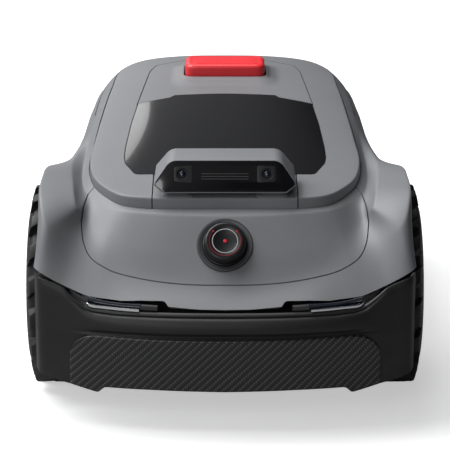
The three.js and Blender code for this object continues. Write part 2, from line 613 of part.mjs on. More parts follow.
function makeHeadlights() {
  for (const [name, side] of [['right', 1], ['left', -1]]) {
    const row = (ahead, below) => Array.from({ length: LIGHT.stations + 1 }, (_, i) => {
      const share = side > 0 ? i / LIGHT.stations : 1 - i / LIGHT.stations;
      const x = THREE.MathUtils.lerp(LIGHT.from, LIGHT.to, share);
      const [y, z] = hemAt(x);
      return new THREE.Vector3(side * x, y + LIGHT.behindHem - ahead, z - below);
    });
    place(`headlight_lens_${name}`, skin([row(0, LIGHT.top), row(0, LIGHT.bottom)], LIGHT.thick), 'lens');
    const ahead = LIGHT.trimThick + 2 * GAP;
    place(`headlight_trim_${name}`, skin([row(ahead, LIGHT.trimTop), row(ahead, LIGHT.trimBottom)],
      LIGHT.trimThick), 'chrome');
  }
}

// ---------- chassis ----------
function chassisOutline(inset = 0) {
  const c = CHASSIS;
  const half = [[0, c.front], [c.frontHalf, c.front], [c.frontHalf, c.frontEnd], [c.midHalf, c.frontEnd],
    [c.midHalf, c.midEnd], [c.rearHalf, c.midEnd], [c.rearHalf, c.tailStart], [c.tailHalf, c.tailStart],
    [c.tailHalf, c.tailBend], [c.tailEndHalf, c.tail], [0, c.tail]];
  return grown(mirrored(half), -inset);
}

function makeChassis() {
  const c = CHASSIS;
  const cup = (radius, z0, z1) => post(0, CHAMBER.y, z0, z1, radius, 36);
  const plateTop = c.floor + c.wall;
  const plate = prism(chassisOutline(), c.floor, plateTop)
    .subtract(cup(CHAMBER.radius + c.wall + GAP, c.floor - 5, plateTop + 5));
  place('chassis_base', plate, 'dark');
  const inside = prism(chassisOutline(c.wall), c.floor, c.top + 1);
  place('chassis_frame', prism(chassisOutline(), plateTop + GAP, c.top).subtract(inside), 'dark');
  let hood = cup(CHAMBER.radius + c.wall, c.floor, CHAMBER.ceiling + c.wall);
  for (const x of [-PILLAR.x, PILLAR.x]) {
    for (const y of [PILLAR.front, PILLAR.back]) {
      hood = hood.add(post(x, y, CHAMBER.ceiling + 1, TRAY.floor - GAP, PILLAR.radius, 12));
    }
  }
  hood = hood.subtract(cup(CHAMBER.radius, c.floor - 5, CHAMBER.ceiling))
    .subtract(cup(LIFT.hole, CHAMBER.ceiling - 5, CHAMBER.ceiling + 5));
  place('cutter_hood', hood, 'dark');
  const pads = CONTACT;
  for (const [name, side] of [['right', 1], ['left', -1]]) {
    const x = side * pads.x;
    const pad = box(x - pads.half, x + pads.half, c.tail + GAP, c.tail + GAP + pads.thick,
      pads.z - pads.high / 2, pads.z + pads.high / 2);
    place(`charging_contact_${name}`, pad, 'steel');
  }
}

// ---------- controls under the lid ----------
function makeControls() {
  const wall = 2;
  const outline = roundedOutline(-TRAY.half, TRAY.front, TRAY.half, TRAY.back, 10, 3);
  const well = prism(grown(outline, -wall), TRAY.floor + 3, TRAY.top + 1);
  let tray = prism(outline, TRAY.floor, TRAY.top).subtract(well);
  const top = TRAY.floor + 3;
  KEYS.forEach((name, i) => {
    const x = (i - (KEYS.length - 1) / 2) * KEY.pitch;
    tray = tray.add(post(x, KEY.y, top - 1, top + KEY.guide, KEY.radius + 2, 16));
    tray = tray.subtract(post(x, KEY.y, top, top + 20, KEY.radius + 2 * GAP, 16));
    const lowest = top + KEY.travel + GAP;
    place(name, post(x, KEY.y, lowest, lowest + KEY.height, KEY.radius, 16), i === 0 ? 'red' : 'keycap');
  });
  place('control_tray', tray, 'dark');
}

// ---------- cutter ----------
function makeCutter() {
  const y = CHAMBER.y;
  const l = LIFT;
  const nutY = y + l.screwOff;
  let carriage = post(0, y, l.ring, l.ring + l.tall, l.outer).add(
    box(-l.arm, l.arm, y + l.outer - 6, nutY + 10, l.ring + l.armLow, l.ring + l.armHigh));
  carriage = carriage.subtract(post(0, y, l.ring - 1, l.ring + l.tall + 1, l.inner + GAP))
    .subtract(post(0, nutY, l.ring, l.ring + 50, l.screw + GAP, 20));
  place('lift_carriage', carriage, 'dark');
  place('lift_screw', post(0, nutY, CHAMBER.ceiling + CHASSIS.wall + GAP, l.motorZ - GAP, l.screw, 20), 'steel');
  place('lift_motor', post(0, nutY, l.motorZ, TRAY.floor - GAP, l.motorRadius, 24), 'steel');
  const flange = post(0, y, l.ring + l.tall + GAP, l.ring + l.tall + 4, l.outer - 1);
  const shaft = post(0, y, DISC.z + DISC.thick + DISC.boss + GAP, l.motorLow + 1, l.shaft, 20);
  const can = post(0, y, l.motorLow, l.ring + l.tall + 1, l.inner);
  place('blade_motor', can.add(flange).add(shaft), 'steel');
  let disc = post(0, y, DISC.z, DISC.z + DISC.thick, DISC.radius, 40)
    .add(post(0, y, DISC.z + 1, DISC.z + DISC.thick + DISC.boss, DISC.bossRadius, 24));
  const bladeTop = DISC.z - GAP;
  const bladeLow = bladeTop - BLADE.thick;
  for (let i = 0; i < BLADE.count; i += 1) {
    const turn = (solidPiece) => solidPiece.rotate([0, 0, (360 * i) / BLADE.count]).translate([0, y, 0]);
    const hole = post(BLADE.pivotRadius, 0, -5, 100, BLADE.bore + GAP, 16);
    const edge = roundedOutline(BLADE.pivotRadius - BLADE.width / 2, -BLADE.width / 2,
      BLADE.pivotRadius + BLADE.length, BLADE.width / 2, 4, 2);
    disc = disc.subtract(turn(hole));
    place(`blade_${i + 1}`, turn(prism(edge, bladeLow, bladeTop).subtract(hole)), 'steel');
    const screw = post(BLADE.pivotRadius, 0, bladeLow - GAP - BLADE.headHigh, bladeLow - GAP, BLADE.head, 20)
      .add(post(BLADE.pivotRadius, 0, bladeLow - GAP - 1, DISC.z + DISC.thick, BLADE.bore, 16));
    place(`blade_screw_${i + 1}`, turn(screw), 'steel');
  }
  place('cutting_disc', disc, 'dark');
}

// ---------- inside ----------
function makeElectronics() {
  const floor = CHASSIS.floor + CHASSIS.wall + GAP;
  place('battery_pack', box(-BATTERY.half, BATTERY.half, BATTERY.front, BATTERY.back, floor,
    floor + BATTERY.height), 'battery');
  let board = box(-BOARD.half, BOARD.half, BOARD.front, BOARD.back, floor + BOARD.foot, floor + BOARD.foot + 2);
  for (const x of [-BOARD.half + 6, BOARD.half - 6]) {
    for (const y of [BOARD.front + 6, BOARD.back - 6]) {
      board = board.add(post(x, y, floor, floor + BOARD.foot + 1, 4, 10));
    }
  }
  place('main_board', board, 'board');
}

// ---------- wheels ----------
function lugOutline(axle, turn) {
  const points = [];
  const root = axle.radius - axle.lug;
  const pitch = (2 * Math.PI) / axle.lugs;
  for (let i = 0; i < axle.lugs; i += 1) {
    const middle = i * pitch + turn;
    const steps = [[root, -LUG.footShare], [axle.radius, -LUG.topShare], [axle.radius, LUG.topShare],
      [root, LUG.footShare]];
    for (const [radius, share] of steps) {
      const flat = radius === axle.radius ? radius / Math.cos(LUG.topShare * pitch) : radius;
      const angle = middle + share * pitch;
      points.push([flat * Math.cos(angle), flat * Math.sin(angle)]);
    }
  }
  return points;
}

function makeWheel(corner, axle, side, bulge) {
  const z = axle.radius;
  const rim = axle.radius * RIM_SHARE;
  const middle = (axle.inner + axle.outer) / 2;
  const half = (from, to, turn) => prism(lugOutline(axle, turn), from, to);
  const bore = post(0, 0, axle.inner - 5, axle.outer + 30, rim + GAP, SIDES);
  const wallProfile = [[0, axle.outer - 3], [axle.radius - axle.lug - 6, axle.outer - 3],
    [axle.radius - axle.lug - 6, axle.outer + bulge * 0.5], [rim + 6, axle.outer + bulge],
    [0, axle.outer + bulge]];
  const sidewall = solid(new THREE.LatheGeometry(wallProfile.map(v2), SIDES)).rotate([90, 0, 0]);
  const stand = (shape) => shape.rotate([0, side * 90, 0]).translate([0, axle.y, z]);
  const pitch = Math.PI / axle.lugs;
  const tyre = half(axle.inner, middle + 0.5, Math.PI).add(half(middle, axle.outer, pitch)).add(sidewall)
    .subtract(bore);
  place(`tyre_${corner}`, stand(tyre), 'rubber');
  const profile = [[0, axle.inner + RIM.recess], [rim, axle.inner + RIM.recess], [rim, axle.outer + bulge * 0.6],
    [rim - 8, axle.outer + bulge], [rim * 0.45, axle.outer + bulge - 3], [rim * 0.3, axle.outer + bulge + 1],
    [0, axle.outer + bulge + 1]];
  const disc = solid(new THREE.LatheGeometry(profile.map(v2), SIDES)).rotate([90, 0, 0]);
  place(`rim_${corner}`, stand(disc), 'dark');
  const wallHalf = axle === FRONT_AXLE ? CHASSIS.frontHalf : CHASSIS.rearHalf;
  const hub = post(0, 0, wallHalf + GAP, axle.inner + RIM.recess - GAP, HUB_RADIUS, SIDES);
  place(`hub_motor_${corner}`, stand(hub), 'steel');
}

function makeWheels() {
  const ends = [['front', FRONT_AXLE, BULGE], ['rear', REAR_AXLE, REAR_BULGE]];
  for (const [end, axle, bulge] of ends) {
    makeWheel(`${end}_right`, axle, 1, bulge);
    makeWheel(`${end}_left`, axle, -1, bulge);
  }
}

makeShells();
makeDeck();
makeStopButton();
makeCamera();
makeLidar();
makeBumper();
makeHeadlights();
makeChassis();
makeControls();
makeCutter();
makeElectronics();
makeWheels();
parts.position.y = -new THREE.Box3().setFromObject(parts).getCenter(new THREE.Vector3()).y;

export default parts;
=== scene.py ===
import json
import math

import bmesh
import bpy
import numpy as np
from mathutils import Matrix, Vector


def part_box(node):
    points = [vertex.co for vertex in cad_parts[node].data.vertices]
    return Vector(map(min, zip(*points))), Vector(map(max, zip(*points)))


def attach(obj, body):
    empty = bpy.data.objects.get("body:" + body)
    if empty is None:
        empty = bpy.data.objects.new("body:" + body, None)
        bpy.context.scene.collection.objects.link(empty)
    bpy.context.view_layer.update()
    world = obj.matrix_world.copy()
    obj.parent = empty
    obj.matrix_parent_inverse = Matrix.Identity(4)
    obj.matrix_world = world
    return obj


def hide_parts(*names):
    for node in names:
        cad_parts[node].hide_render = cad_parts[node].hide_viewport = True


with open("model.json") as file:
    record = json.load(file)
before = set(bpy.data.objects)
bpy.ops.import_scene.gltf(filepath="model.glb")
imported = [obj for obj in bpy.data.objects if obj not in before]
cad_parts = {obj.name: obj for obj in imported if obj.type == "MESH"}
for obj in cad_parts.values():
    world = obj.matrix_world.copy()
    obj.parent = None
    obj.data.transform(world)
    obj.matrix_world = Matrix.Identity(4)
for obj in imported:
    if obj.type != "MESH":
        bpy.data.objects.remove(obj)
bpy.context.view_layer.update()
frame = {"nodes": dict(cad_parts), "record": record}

bl_info = {
    "name": "Robotic Lawn Mower",
    "version": (1, 0, 0),
    "blender": (4, 5, 0),
    "location": "View3D > Sidebar > Mower",
    "description": "Builds the outer panels, wheels, sensors and finishes of a robotic lawn mower round its CAD frame",
    "category": "Add Mesh",
}

# Every size below is in millimetres from the ground under the middle of the machine, with the
# front facing -Y; metres() turns them into Blender's metres in the CAD frame.
FRONT_AXLE = {"y": -150, "radius": 111, "inner": 168, "outer": 212, "lug": 8, "lugs": 18}
REAR_AXLE = {"y": 165, "radius": 98, "inner": 118, "outer": 166, "lug": 7, "lugs": 16}
TYRE_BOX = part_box("tyre_front_right")
# How far the CAD frame's y lies from the sizes below.
SHIFT = (TYRE_BOX[0].y + TYRE_BOX[1].y) * 500 - FRONT_AXLE["y"]
FRONT_Y = -320
WALL = 3

# The body from the front centre round the right side to the rear centre: the deck's edge, then
# the shell's ledge, slope, shoulder and hem, and how sharp the bends at slope and shoulder are.
STATIONS = [
    {"edge": (0, -213), "ledge": (0, -226, 215), "slope": (0, -250, 184), "shoulder": (0, -277, 152),
     "hem": (0, -303, 134), "crease": (0, 0)},
    {"edge": (80, -212), "ledge": (80, -221, 216), "slope": (84, -246, 186), "shoulder": (88, -268, 159),
     "hem": (88, -296, 139), "crease": (0, 0)},
    {"edge": (112, -203), "ledge": (116, -211, 217), "slope": (124, -232, 194), "shoulder": (128, -255, 171),
     "hem": (130, -288, 140), "crease": (0, 0)},
    {"edge": (135, -174), "ledge": (142, -182, 219), "slope": (152, -205, 206), "shoulder": (160, -240, 186),
     "hem": (168, -275, 150.5), "crease": (0.3, 0)},
    {"edge": (145, -150), "ledge": (153, -160, 221), "slope": (160, -211, 219), "shoulder": (190, -243, 209),
     "hem": (202.5, -264, 167), "crease": (0.8, 0.3)},
    {"edge": (149, -130), "ledge": (158, -136, 222), "slope": (165, -188, 230), "shoulder": (201.5, -208, 232),
     "hem": (203.5, -228, 165), "crease": (0.9, 0.9)},
    {"edge": (152, -103), "ledge": (160.5, -108, 224), "slope": (170, -140, 233), "shoulder": (202.5, -150, 238),
     "hem": (204.5, -152, 160), "crease": (0.8, 1)},
    {"edge": (152.5, -75), "ledge": (161, -76, 227), "slope": (173.5, -92, 233), "shoulder": (200, -101, 234),
     "hem": (203, -95, 150), "crease": (0.6, 1)},
    {"edge": (151, -40), "ledge": (160, -38, 229), "slope": (173, -42, 230), "shoulder": (181, -42, 217),
     "hem": (185, -36, 122), "crease": (0.2, 0.6)},
    {"edge": (147, 60), "ledge": (157, 60, 238), "slope": (167, 60, 225), "shoulder": (173.5, 60, 206),
     "hem": (176, 60, 122), "crease": (0, 0)},
    {"edge": (141, 180), "ledge": (151, 180, 243), "slope": (161, 181, 230), "shoulder": (168, 182, 210),
     "hem": (172, 184, 122), "crease": (0, 0)},
    {"edge": (132, 272), "ledge": (140, 279, 245), "slope": (149, 286, 231), "shoulder": (157, 292, 210),
     "hem": (162, 296, 122), "crease": (0, 0)},
    {"edge": (110, 306), "ledge": (118, 312, 247), "slope": (126, 317, 232), "shoulder": (132, 320, 210),
     "hem": (136, 322, 122), "crease": (0, 0)},
    {"edge": (60, 313), "ledge": (64, 318, 248.5), "slope": (68, 322, 233), "shoulder": (72, 324, 210),
     "hem": (74, 325.5, 122), "crease": (0, 0)},
    {"edge": (0, 314), "ledge": (0, 319, 249), "slope": (0, 323, 233), "shoulder": (0, 325, 210),
     "hem": (0, 326, 122), "crease": (0, 0)},
]
STEP_HEIGHT = (12.5, 12.5, 12, 10, 9, 8, 8, 8, 7, 3, 1.5, 1.5, 1.5, 1.5, 1.5)
AROUND = 12          # mesh columns between two stations
SKIRT = 3            # how far the deck's side reaches below its step
DRAFT, GROOVE = 1.2, 0.8   # slant of the deck's side, and the gap from its foot to the body
DECK_ROWS = 36       # mesh rows from the deck's rounded edge to its middle line
SPINE_SHARE = 0.72   # length of that middle line as a share of the deck's
RING_START = 1.0     # radius at which a wheel's copies are set out
RIM_SHARE = 0.64     # radius of a wheel disc as a share of the wheel's

STOP = {"half": 50, "front": 184, "back": 238, "top": 281, "bottom": 262, "radius": 12, "stem": 13, "foot": 232}
CAMERA = {"bottom": (-215, 236), "top": (-199, 270), "back": -164, "lens_x": 46, "lens_z": 255.5}
SENSOR = {"y": -247, "z": 188, "up": 39}
FACE_STAND = 3.15
# Across the bumper: x, setback, top edge and bottom edge.
BUMPER = [(0, 0), (62, 2), (110, 8.5), (148, 17.5), (178, 27), (198, 34), (203.5, 46)]
BUMPER_TOP = [(0, 132), (118, 132.5), (140, 134), (149, 136.5), (160, 144), (171, 153.5), (180, 157.5), (190, 161),
              (203.5, 165)]
BUMPER_LOW = [(0, 45.7), (75, 47), (127, 47), (130, 46), (134.5, 41.2), (137, 40.5), (150, 43.4), (166, 47.1),
              (180, 49.3), (198, 54.5), (203.5, 57)]


# ---------------------------------------------------------------- sizes and colours
class MowerSizes(bpy.types.PropertyGroup):
    seam: bpy.props.FloatProperty(name="Panel gap", description="Width of the gap between two body panels",
                                  default=0.0012, min=0.0004, max=0.003, unit="LENGTH")
    edge_round: bpy.props.FloatProperty(name="Deck edge radius", description="Radius of the rounded edge of the deck",
                                        default=0.0026, min=0.0005, max=0.004, unit="LENGTH")
    stop_round: bpy.props.FloatProperty(name="Stop button radius", description="Radius of the stop button's top edge",
                                        default=0.005, min=0.001, max=0.008, unit="LENGTH")
    mound: bpy.props.FloatProperty(name="Collar height", description="How far the collar stands above the rear cover",
                                   default=0.0045, min=0.002, max=0.009, unit="LENGTH")
    weave: bpy.props.FloatProperty(name="Weave pitch", description="Width of one strand of the bumper panel's weave",
                                   default=0.00215, min=0.001, max=0.005, unit="LENGTH")
    spokes: bpy.props.IntProperty(name="Wheel spokes", description="Number of raised spokes on a wheel disc",
                                  default=9, min=5, max=14)


class MowerColours(bpy.types.PropertyGroup):
    body: bpy.props.FloatVectorProperty(name="Body", description="Satin grey of the body panels",
                                         default=(0.195, 0.198, 0.208), min=0, max=1, subtype="COLOR")
    gloss: bpy.props.FloatVectorProperty(name="Gloss black", description="Lid, camera window and sensor head",
                                         default=(0.006, 0.006, 0.007), min=0, max=1, subtype="COLOR")
    dark: bpy.props.FloatVectorProperty(name="Matte black", description="Bumper and lower body",
                                        default=(0.011, 0.011, 0.0115), min=0, max=1, subtype="COLOR")
    stop: bpy.props.FloatVectorProperty(name="Stop red", description="Stop button",
                                        default=(0.86, 0.035, 0.045), min=0, max=1, subtype="COLOR")
    rubber: bpy.props.FloatVectorProperty(name="Rubber", description="Tyres",
                                          default=(0.008, 0.008, 0.0083), min=0, max=1, subtype="COLOR")
    floor: bpy.props.FloatVectorProperty(name="Floor", description="Pale studio floor",
                                         default=(0.86, 0.86, 0.87), min=0, max=1, subtype="COLOR")


def sizes():
    return bpy.context.scene.mower_sizes


def colours():
    return bpy.context.scene.mower_colours


# ---------------------------------------------------------------- curves and outlines
def metres(points):
    out = np.array(points, float).reshape(-1, 3)
    out[:, 1] += SHIFT
    return out * 0.001


def smooth_run(points, per, closed=False):
    """Points along a centripetal curve through the given ones, `per` to a stretch."""
    p = [np.array(q, float) for q in points]
    n = len(p)
    out = []
    for i in range(n if closed else n - 1):
        b, c = p[i], p[(i + 1) % n]
        a = p[i - 1] if closed or i > 0 else 2 * b - c
        d = p[(i + 2) % n] if closed or i + 2 < n else 2 * c - b
        gaps = [math.sqrt(np.linalg.norm(v - u)) for u, v in ((a, b), (b, c), (c, d))]
        g1 = gaps[1] if gaps[1] > 1e-4 else 1.0
        g0, g2 = (g if g > 1e-4 else g1 for g in (gaps[0], gaps[2]))
        leave = ((b - a) / g0 - (c - a) / (g0 + g1) + (c - b) / g1) * g1
        reach = ((c - b) / g1 - (d - b) / (g1 + g2) + (d - c) / g2) * g1
        for k in range(per):
            t = k / per
            h = (2 * t**3 - 3 * t**2 + 1, t**3 - 2 * t**2 + t, -2 * t**3 + 3 * t**2, t**3 - t**2)
            out.append(h[0] * b + h[1] * leave + h[2] * c + h[3] * reach)
    if not closed:
        out.append(p[-1])
    return np.array(out)


def both_sides(half):
    """Adds the left side to values that run along the right side from the centre line on."""
    return list(half) + [(-q[0],) + tuple(q[1:]) for q in half if q[0] > 0][::-1]


def loop_through(half, per=AROUND):
    return smooth_run(both_sides(half), per, closed=True)


def across(values, per=AROUND):
    """Station values as one number for each mesh column around the body."""
    steps = np.arange(2 * (len(values) - 1) * per) / per
    last = len(values) - 1
    return np.interp(np.where(steps > last, 2 * last - steps, steps), np.arange(len(values)), values)


def ease(value, start, end):
    t = np.clip((np.asarray(value, float) - start) / (end - start), 0, 1)
    return t * t * (3 - 2 * t)


def deck_z(x, y):
    """Height of the deck's top surface."""
    half = 149 - 0.045 * y
    edge = 245 + 0.056 * y - 0.00008 * y**2
    crown = (6 + 0.02 * y) * (1 - np.abs(x / half) ** 3)
    return edge + crown - 4 * (np.maximum(y - 220, 0) / 86) ** 2


def deck_ring(out, lower):
    """The deck's edge moved outwards, and down from the deck's top surface."""
    flat = loop_through([s["edge"] + (0,) for s in STATIONS])
    length = np.hypot(flat[:, 0], flat[:, 1])
    ring = flat.copy()
    ring[:, :2] *= (1 + out / length)[:, None]
    ring[:, 2] = deck_z(flat[:, 0], flat[:, 1]) - lower
    return ring


def rounded(corners, radii, steps=6):
    """A closed outline with each corner of the plan rounded by its own radius."""
    out = []
    n = len(corners)
    for i, corner in enumerate(corners):
        p = np.array(corner, float)
        before, after = (np.array(corners[(i + k) % n], float) - p for k in (-1, 1))
        reach = radii[i] if isinstance(radii, (list, tuple)) else radii
        u, v = before / np.linalg.norm(before), after / np.linalg.norm(after)
        half = math.acos(max(-1, min(1, float(u @ v)))) / 2
        cut = min(reach / max(math.tan(half), 1e-3), np.linalg.norm(before) * 0.49, np.linalg.norm(after) * 0.49)
        a, c = p + u * cut, p + v * cut
        for k in range(steps + 1):
            t = k / steps
            out.append(a * (1 - t) ** 2 + p * 2 * t * (1 - t) + c * t * t)
    return np.array(out)


def grown(outline, distance):
    """The outline moved out by a distance, for one that runs anticlockwise."""
    p = np.array(outline, float)
    p = p[np.linalg.norm(p - np.roll(p, 1, 0), axis=1) > 0.01]
    before, after = p - np.roll(p, 1, 0), np.roll(p, -1, 0) - p
    a, b = (np.stack([d[:, 1], -d[:, 0]], 1) / np.maximum(np.linalg.norm(d, axis=1), 1e-9)[:, None]
            for d in (before, after))
    middle = a + b
    middle /= np.linalg.norm(middle, axis=1)[:, None]
    return p + middle * (distance / np.maximum((middle * a).sum(1), 0.4))[:, None]


# ---------------------------------------------------------------- meshes
def ring_faces(rows, count, offset=0, closed=True, flip=False):
    faces = []
    for r in range(rows - 1):
        for c in range(count if closed else count - 1):
            d = (c + 1) % count
            quad = [offset + r * count + c, offset + r * count + d,
                    offset + (r + 1) * count + d, offset + (r + 1) * count + c]
            faces.append(quad[::-1] if flip else quad)
    return faces


def wall_between(outer, inner, closed=True):
    """Points and faces of the closed wall between two matching stacks of rows."""
    rows, count = len(outer), len(outer[0])
    back = rows * count
    faces = ring_faces(rows, count, 0, closed) + ring_faces(rows, count, back, closed, flip=True)
    for r in (0, rows - 1):
        for c in range(count if closed else count - 1):
            a, b = r * count + c, r * count + (c + 1) % count
            faces.append([a, b, back + b, back + a])
    if not closed:
        for c in (0, count - 1):
            for r in range(rows - 1):
                a, b = r * count + c, (r + 1) * count + c
                faces.append([a, b, back + b, back + a])
    return np.concatenate(list(outer) + list(inner)), faces


def behind(rows, thickness, closed=True):
    """The rows moved in along the surface's own normals."""
    grid = np.array(rows)
    if closed:
        along = np.roll(grid, -1, 1) - np.roll(grid, 1, 1)
    else:
        along = np.gradient(grid, axis=1)
    normal = np.cross(along, np.gradient(grid, axis=0))
    normal /= np.maximum(np.linalg.norm(normal, axis=2), 1e-9)[:, :, None]
    return grid + normal * thickness


def stack(rings):
    """A closed body through rings, lowest first, with flat ends."""
    rings = [np.array(r, float) for r in rings]
    count = len(rings[0])
    faces = ring_faces(len(rings), count)
    faces.append(list(range(count))[::-1])
    faces.append([(len(rings) - 1) * count + c for c in range(count)])
    return np.concatenate(rings), faces


def lathe(profile, origin, axis, sides=64, closed_profile=False):
    """A round body about an axis, from (radius, distance along the axis) pairs."""
    turn = Vector((0, 0, 1)).rotation_difference(Vector(axis)).to_matrix()
    points, faces = [], []
    for radius, along in profile:
        for k in range(sides):
            a = 2 * math.pi * k / sides
            points.append(Vector(origin) + turn @ Vector((radius * math.cos(a), radius * math.sin(a), along)))
    faces = ring_faces(len(profile), sides)
    if closed_profile:
        last = (len(profile) - 1) * sides
        faces += [[last + c, last + (c + 1) % sides, (c + 1) % sides, c] for c in range(sides)]
    return np.array([tuple(p) for p in points]), faces


def make_object(name, shape, material=None, scale=True):
    points, faces = shape
    mesh = bpy.data.meshes.new(name)
    mesh.from_pydata((metres(points) if scale else np.array(points) * 0.001).tolist(), [], faces)
    bm = bmesh.new()
    bm.from_mesh(mesh)
    bmesh.ops.remove_doubles(bm, verts=bm.verts, dist=2e-6)
    bmesh.ops.delete(bm, geom=[e for e in bm.edges if not e.link_faces], context="EDGES")
    bmesh.ops.recalc_face_normals(bm, faces=bm.faces)
    bm.to_mesh(mesh)
    bm.free()
    if material:
        mesh.materials.append(material)
    obj = bpy.data.objects.new(name, mesh)
    bpy.context.scene.collection.objects.link(obj)
    return obj


def evaluated(obj):
    depsgraph = bpy.context.evaluated_depsgraph_get()
    depsgraph.update()
    mesh = bpy.data.meshes.new_from_object(obj.evaluated_get(depsgraph))
    obj.modifiers.clear()
    obj.data = mesh
    return obj


def carve(obj, operation, *tools):
    """Cuts away or keeps what the tools cover, and removes the tools."""
    for tool in tools:
        cut = obj.modifiers.new("cut", "BOOLEAN")
        cut.operation, cut.solver, cut.object = operation, "EXACT", tool
    evaluated(obj)
    for tool in tools:
        bpy.data.objects.remove(tool)
    if not len(obj.data.polygons):
        raise RuntimeError(f"{obj.name} has no faces left after its cuts")
    return obj


def column(outline, z0=-20, z1=330):
    """An upright cutter with the given plan."""
    flat = np.array(outline, float)[:, :2]
    rings = [np.column_stack([flat, np.full(len(flat), z)]) for z in (z0, z1)]
    return make_object("column", stack(rings))


def settle(obj, body, replaced, sharp=32):
    """Gives a finished piece its shading and body, and hides the CAD nodes that it stands for."""
    obj.data.shade_smooth()
    obj.data.set_sharp_from_angle(angle=math.radians(sharp))
    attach(obj, body)
    if replaced:
        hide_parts(*([replaced] if isinstance(replaced, str) else replaced))
    return obj


def add_piece(name, shape, body, replaced, slot, sharp=32, material=None):
    return settle(make_object(name, shape, material or finish(slot)), body, replaced, sharp)


# ---------------------------------------------------------------- geometry node trees
def tree_with(name, inputs):
    tree = bpy.data.node_groups.new(name, "GeometryNodeTree")
    tree.interface.new_socket("Geometry", in_out="OUTPUT", socket_type="NodeSocketGeometry")
    tree.interface.new_socket("Geometry", in_out="INPUT", socket_type="NodeSocketGeometry")
    for label, kind in inputs:
        tree.interface.new_socket(label, in_out="INPUT", socket_type=kind)
    return tree, tree.nodes.new("NodeGroupInput"), tree.nodes.new("NodeGroupOutput")


def finish_tree(tree, given, result, instances):
    """Makes the copies real, turns and places them, and gives them their material."""
    real = tree.nodes.new("GeometryNodeRealizeInstances")
    place = tree.nodes.new("GeometryNodeTransform")
    paint = tree.nodes.new("GeometryNodeSetMaterial")
    link = tree.links.new
    link(instances, real.inputs[0])
    link(real.outputs[0], place.inputs["Geometry"])
    link(given.outputs["Centre"], place.inputs["Translation"])
    link(given.outputs["Turn"], place.inputs["Rotation"])
    link(place.outputs[0], paint.inputs["Geometry"])
    link(given.outputs["Material"], paint.inputs["Material"])
    link(paint.outputs[0], result.inputs[0])
    return tree


def ring_tree():
    """Copies of one unit round a circle, each facing out along its own X."""
    found = bpy.data.node_groups.get("Ring of copies")
    if found:
        return found
    tree, given, result = tree_with("Ring of copies", [
        ("Unit", "NodeSocketObject"), ("Count", "NodeSocketInt"), ("Radius", "NodeSocketFloat"),
        ("Centre", "NodeSocketVector"), ("Turn", "NodeSocketRotation"), ("Material", "NodeSocketMaterial")])
    circle = tree.nodes.new("GeometryNodeMeshCircle")
    unit = tree.nodes.new("GeometryNodeObjectInfo")
    copies = tree.nodes.new("GeometryNodeInstanceOnPoints")
    place = tree.nodes.new("GeometryNodeInputPosition")
    face = tree.nodes.new("FunctionNodeAlignRotationToVector")
    face.axis = "X"
    link = tree.links.new
    link(given.outputs["Unit"], unit.inputs["Object"])
    link(given.outputs["Count"], circle.inputs["Vertices"])
    link(given.outputs["Radius"], circle.inputs["Radius"])
    link(circle.outputs[0], copies.inputs["Points"])
    link(unit.outputs["Geometry"], copies.inputs["Instance"])
    link(place.outputs[0], face.inputs["Vector"])
    link(face.outputs[0], copies.inputs["Rotation"])
    return finish_tree(tree, given, result, copies.outputs[0])


def row_tree():
    """Copies of one unit in a straight row."""
    found = bpy.data.node_groups.get("Row of copies")
    if found:
        return found
    tree, given, result = tree_with("Row of copies", [
        ("Unit", "NodeSocketObject"), ("Count", "NodeSocketInt"), ("Step", "NodeSocketVector"),
        ("Centre", "NodeSocketVector"), ("Turn", "NodeSocketRotation"), ("Material", "NodeSocketMaterial")])
    line = tree.nodes.new("GeometryNodeMeshLine")
    unit = tree.nodes.new("GeometryNodeObjectInfo")
    copies = tree.nodes.new("GeometryNodeInstanceOnPoints")
    link = tree.links.new
    link(given.outputs["Unit"], unit.inputs["Object"])
    link(given.outputs["Count"], line.inputs["Count"])
    link(given.outputs["Step"], line.inputs["Offset"])
    link(line.outputs[0], copies.inputs["Points"])
    link(unit.outputs["Geometry"], copies.inputs["Instance"])
    return finish_tree(tree, given, result, copies.outputs[0])


def point_tree():
    """Copies of one unit on each of the object's own points."""
    found = bpy.data.node_groups.get("Copies on points")
    if found:
        return found
    tree, given, result = tree_with("Copies on points", [
        ("Unit", "NodeSocketObject"), ("Centre", "NodeSocketVector"), ("Turn", "NodeSocketRotation"),
        ("Material", "NodeSocketMaterial")])
    unit = tree.nodes.new("GeometryNodeObjectInfo")
    copies = tree.nodes.new("GeometryNodeInstanceOnPoints")
    link = tree.links.new
    link(given.outputs["Unit"], unit.inputs["Object"])
    link(given.outputs["Geometry"], copies.inputs["Points"])
    link(unit.outputs["Geometry"], copies.inputs["Instance"])
    return finish_tree(tree, given, result, copies.outputs[0])


def repeated(name, tree, unit, material, points=(), **values):
    """The mesh that a tree makes from one unit, as an object of its own; the unit is removed."""
    obj = make_object(name, (np.array(points, float).reshape(-1, 3), []), scale=True) if len(points) \
        else make_object(name, (np.zeros((1, 3)), []), scale=False)
    nodes = obj.modifiers.new("copies", "NODES")
    nodes.node_group = tree
    known = {s.name: s.identifier for s in tree.interface.items_tree if getattr(s, "in_out", "") == "INPUT"}
    values = {"Unit": unit, "Material": material, "Centre": (0, 0, 0), "Turn": (0, 0, 0), **values}
    for label, value in values.items():
        nodes[known[label]] = value
    evaluated(obj)
    bpy.data.objects.remove(unit)
    if not len(obj.data.polygons):
        raise RuntimeError(f"{name} came out empty")
    return obj


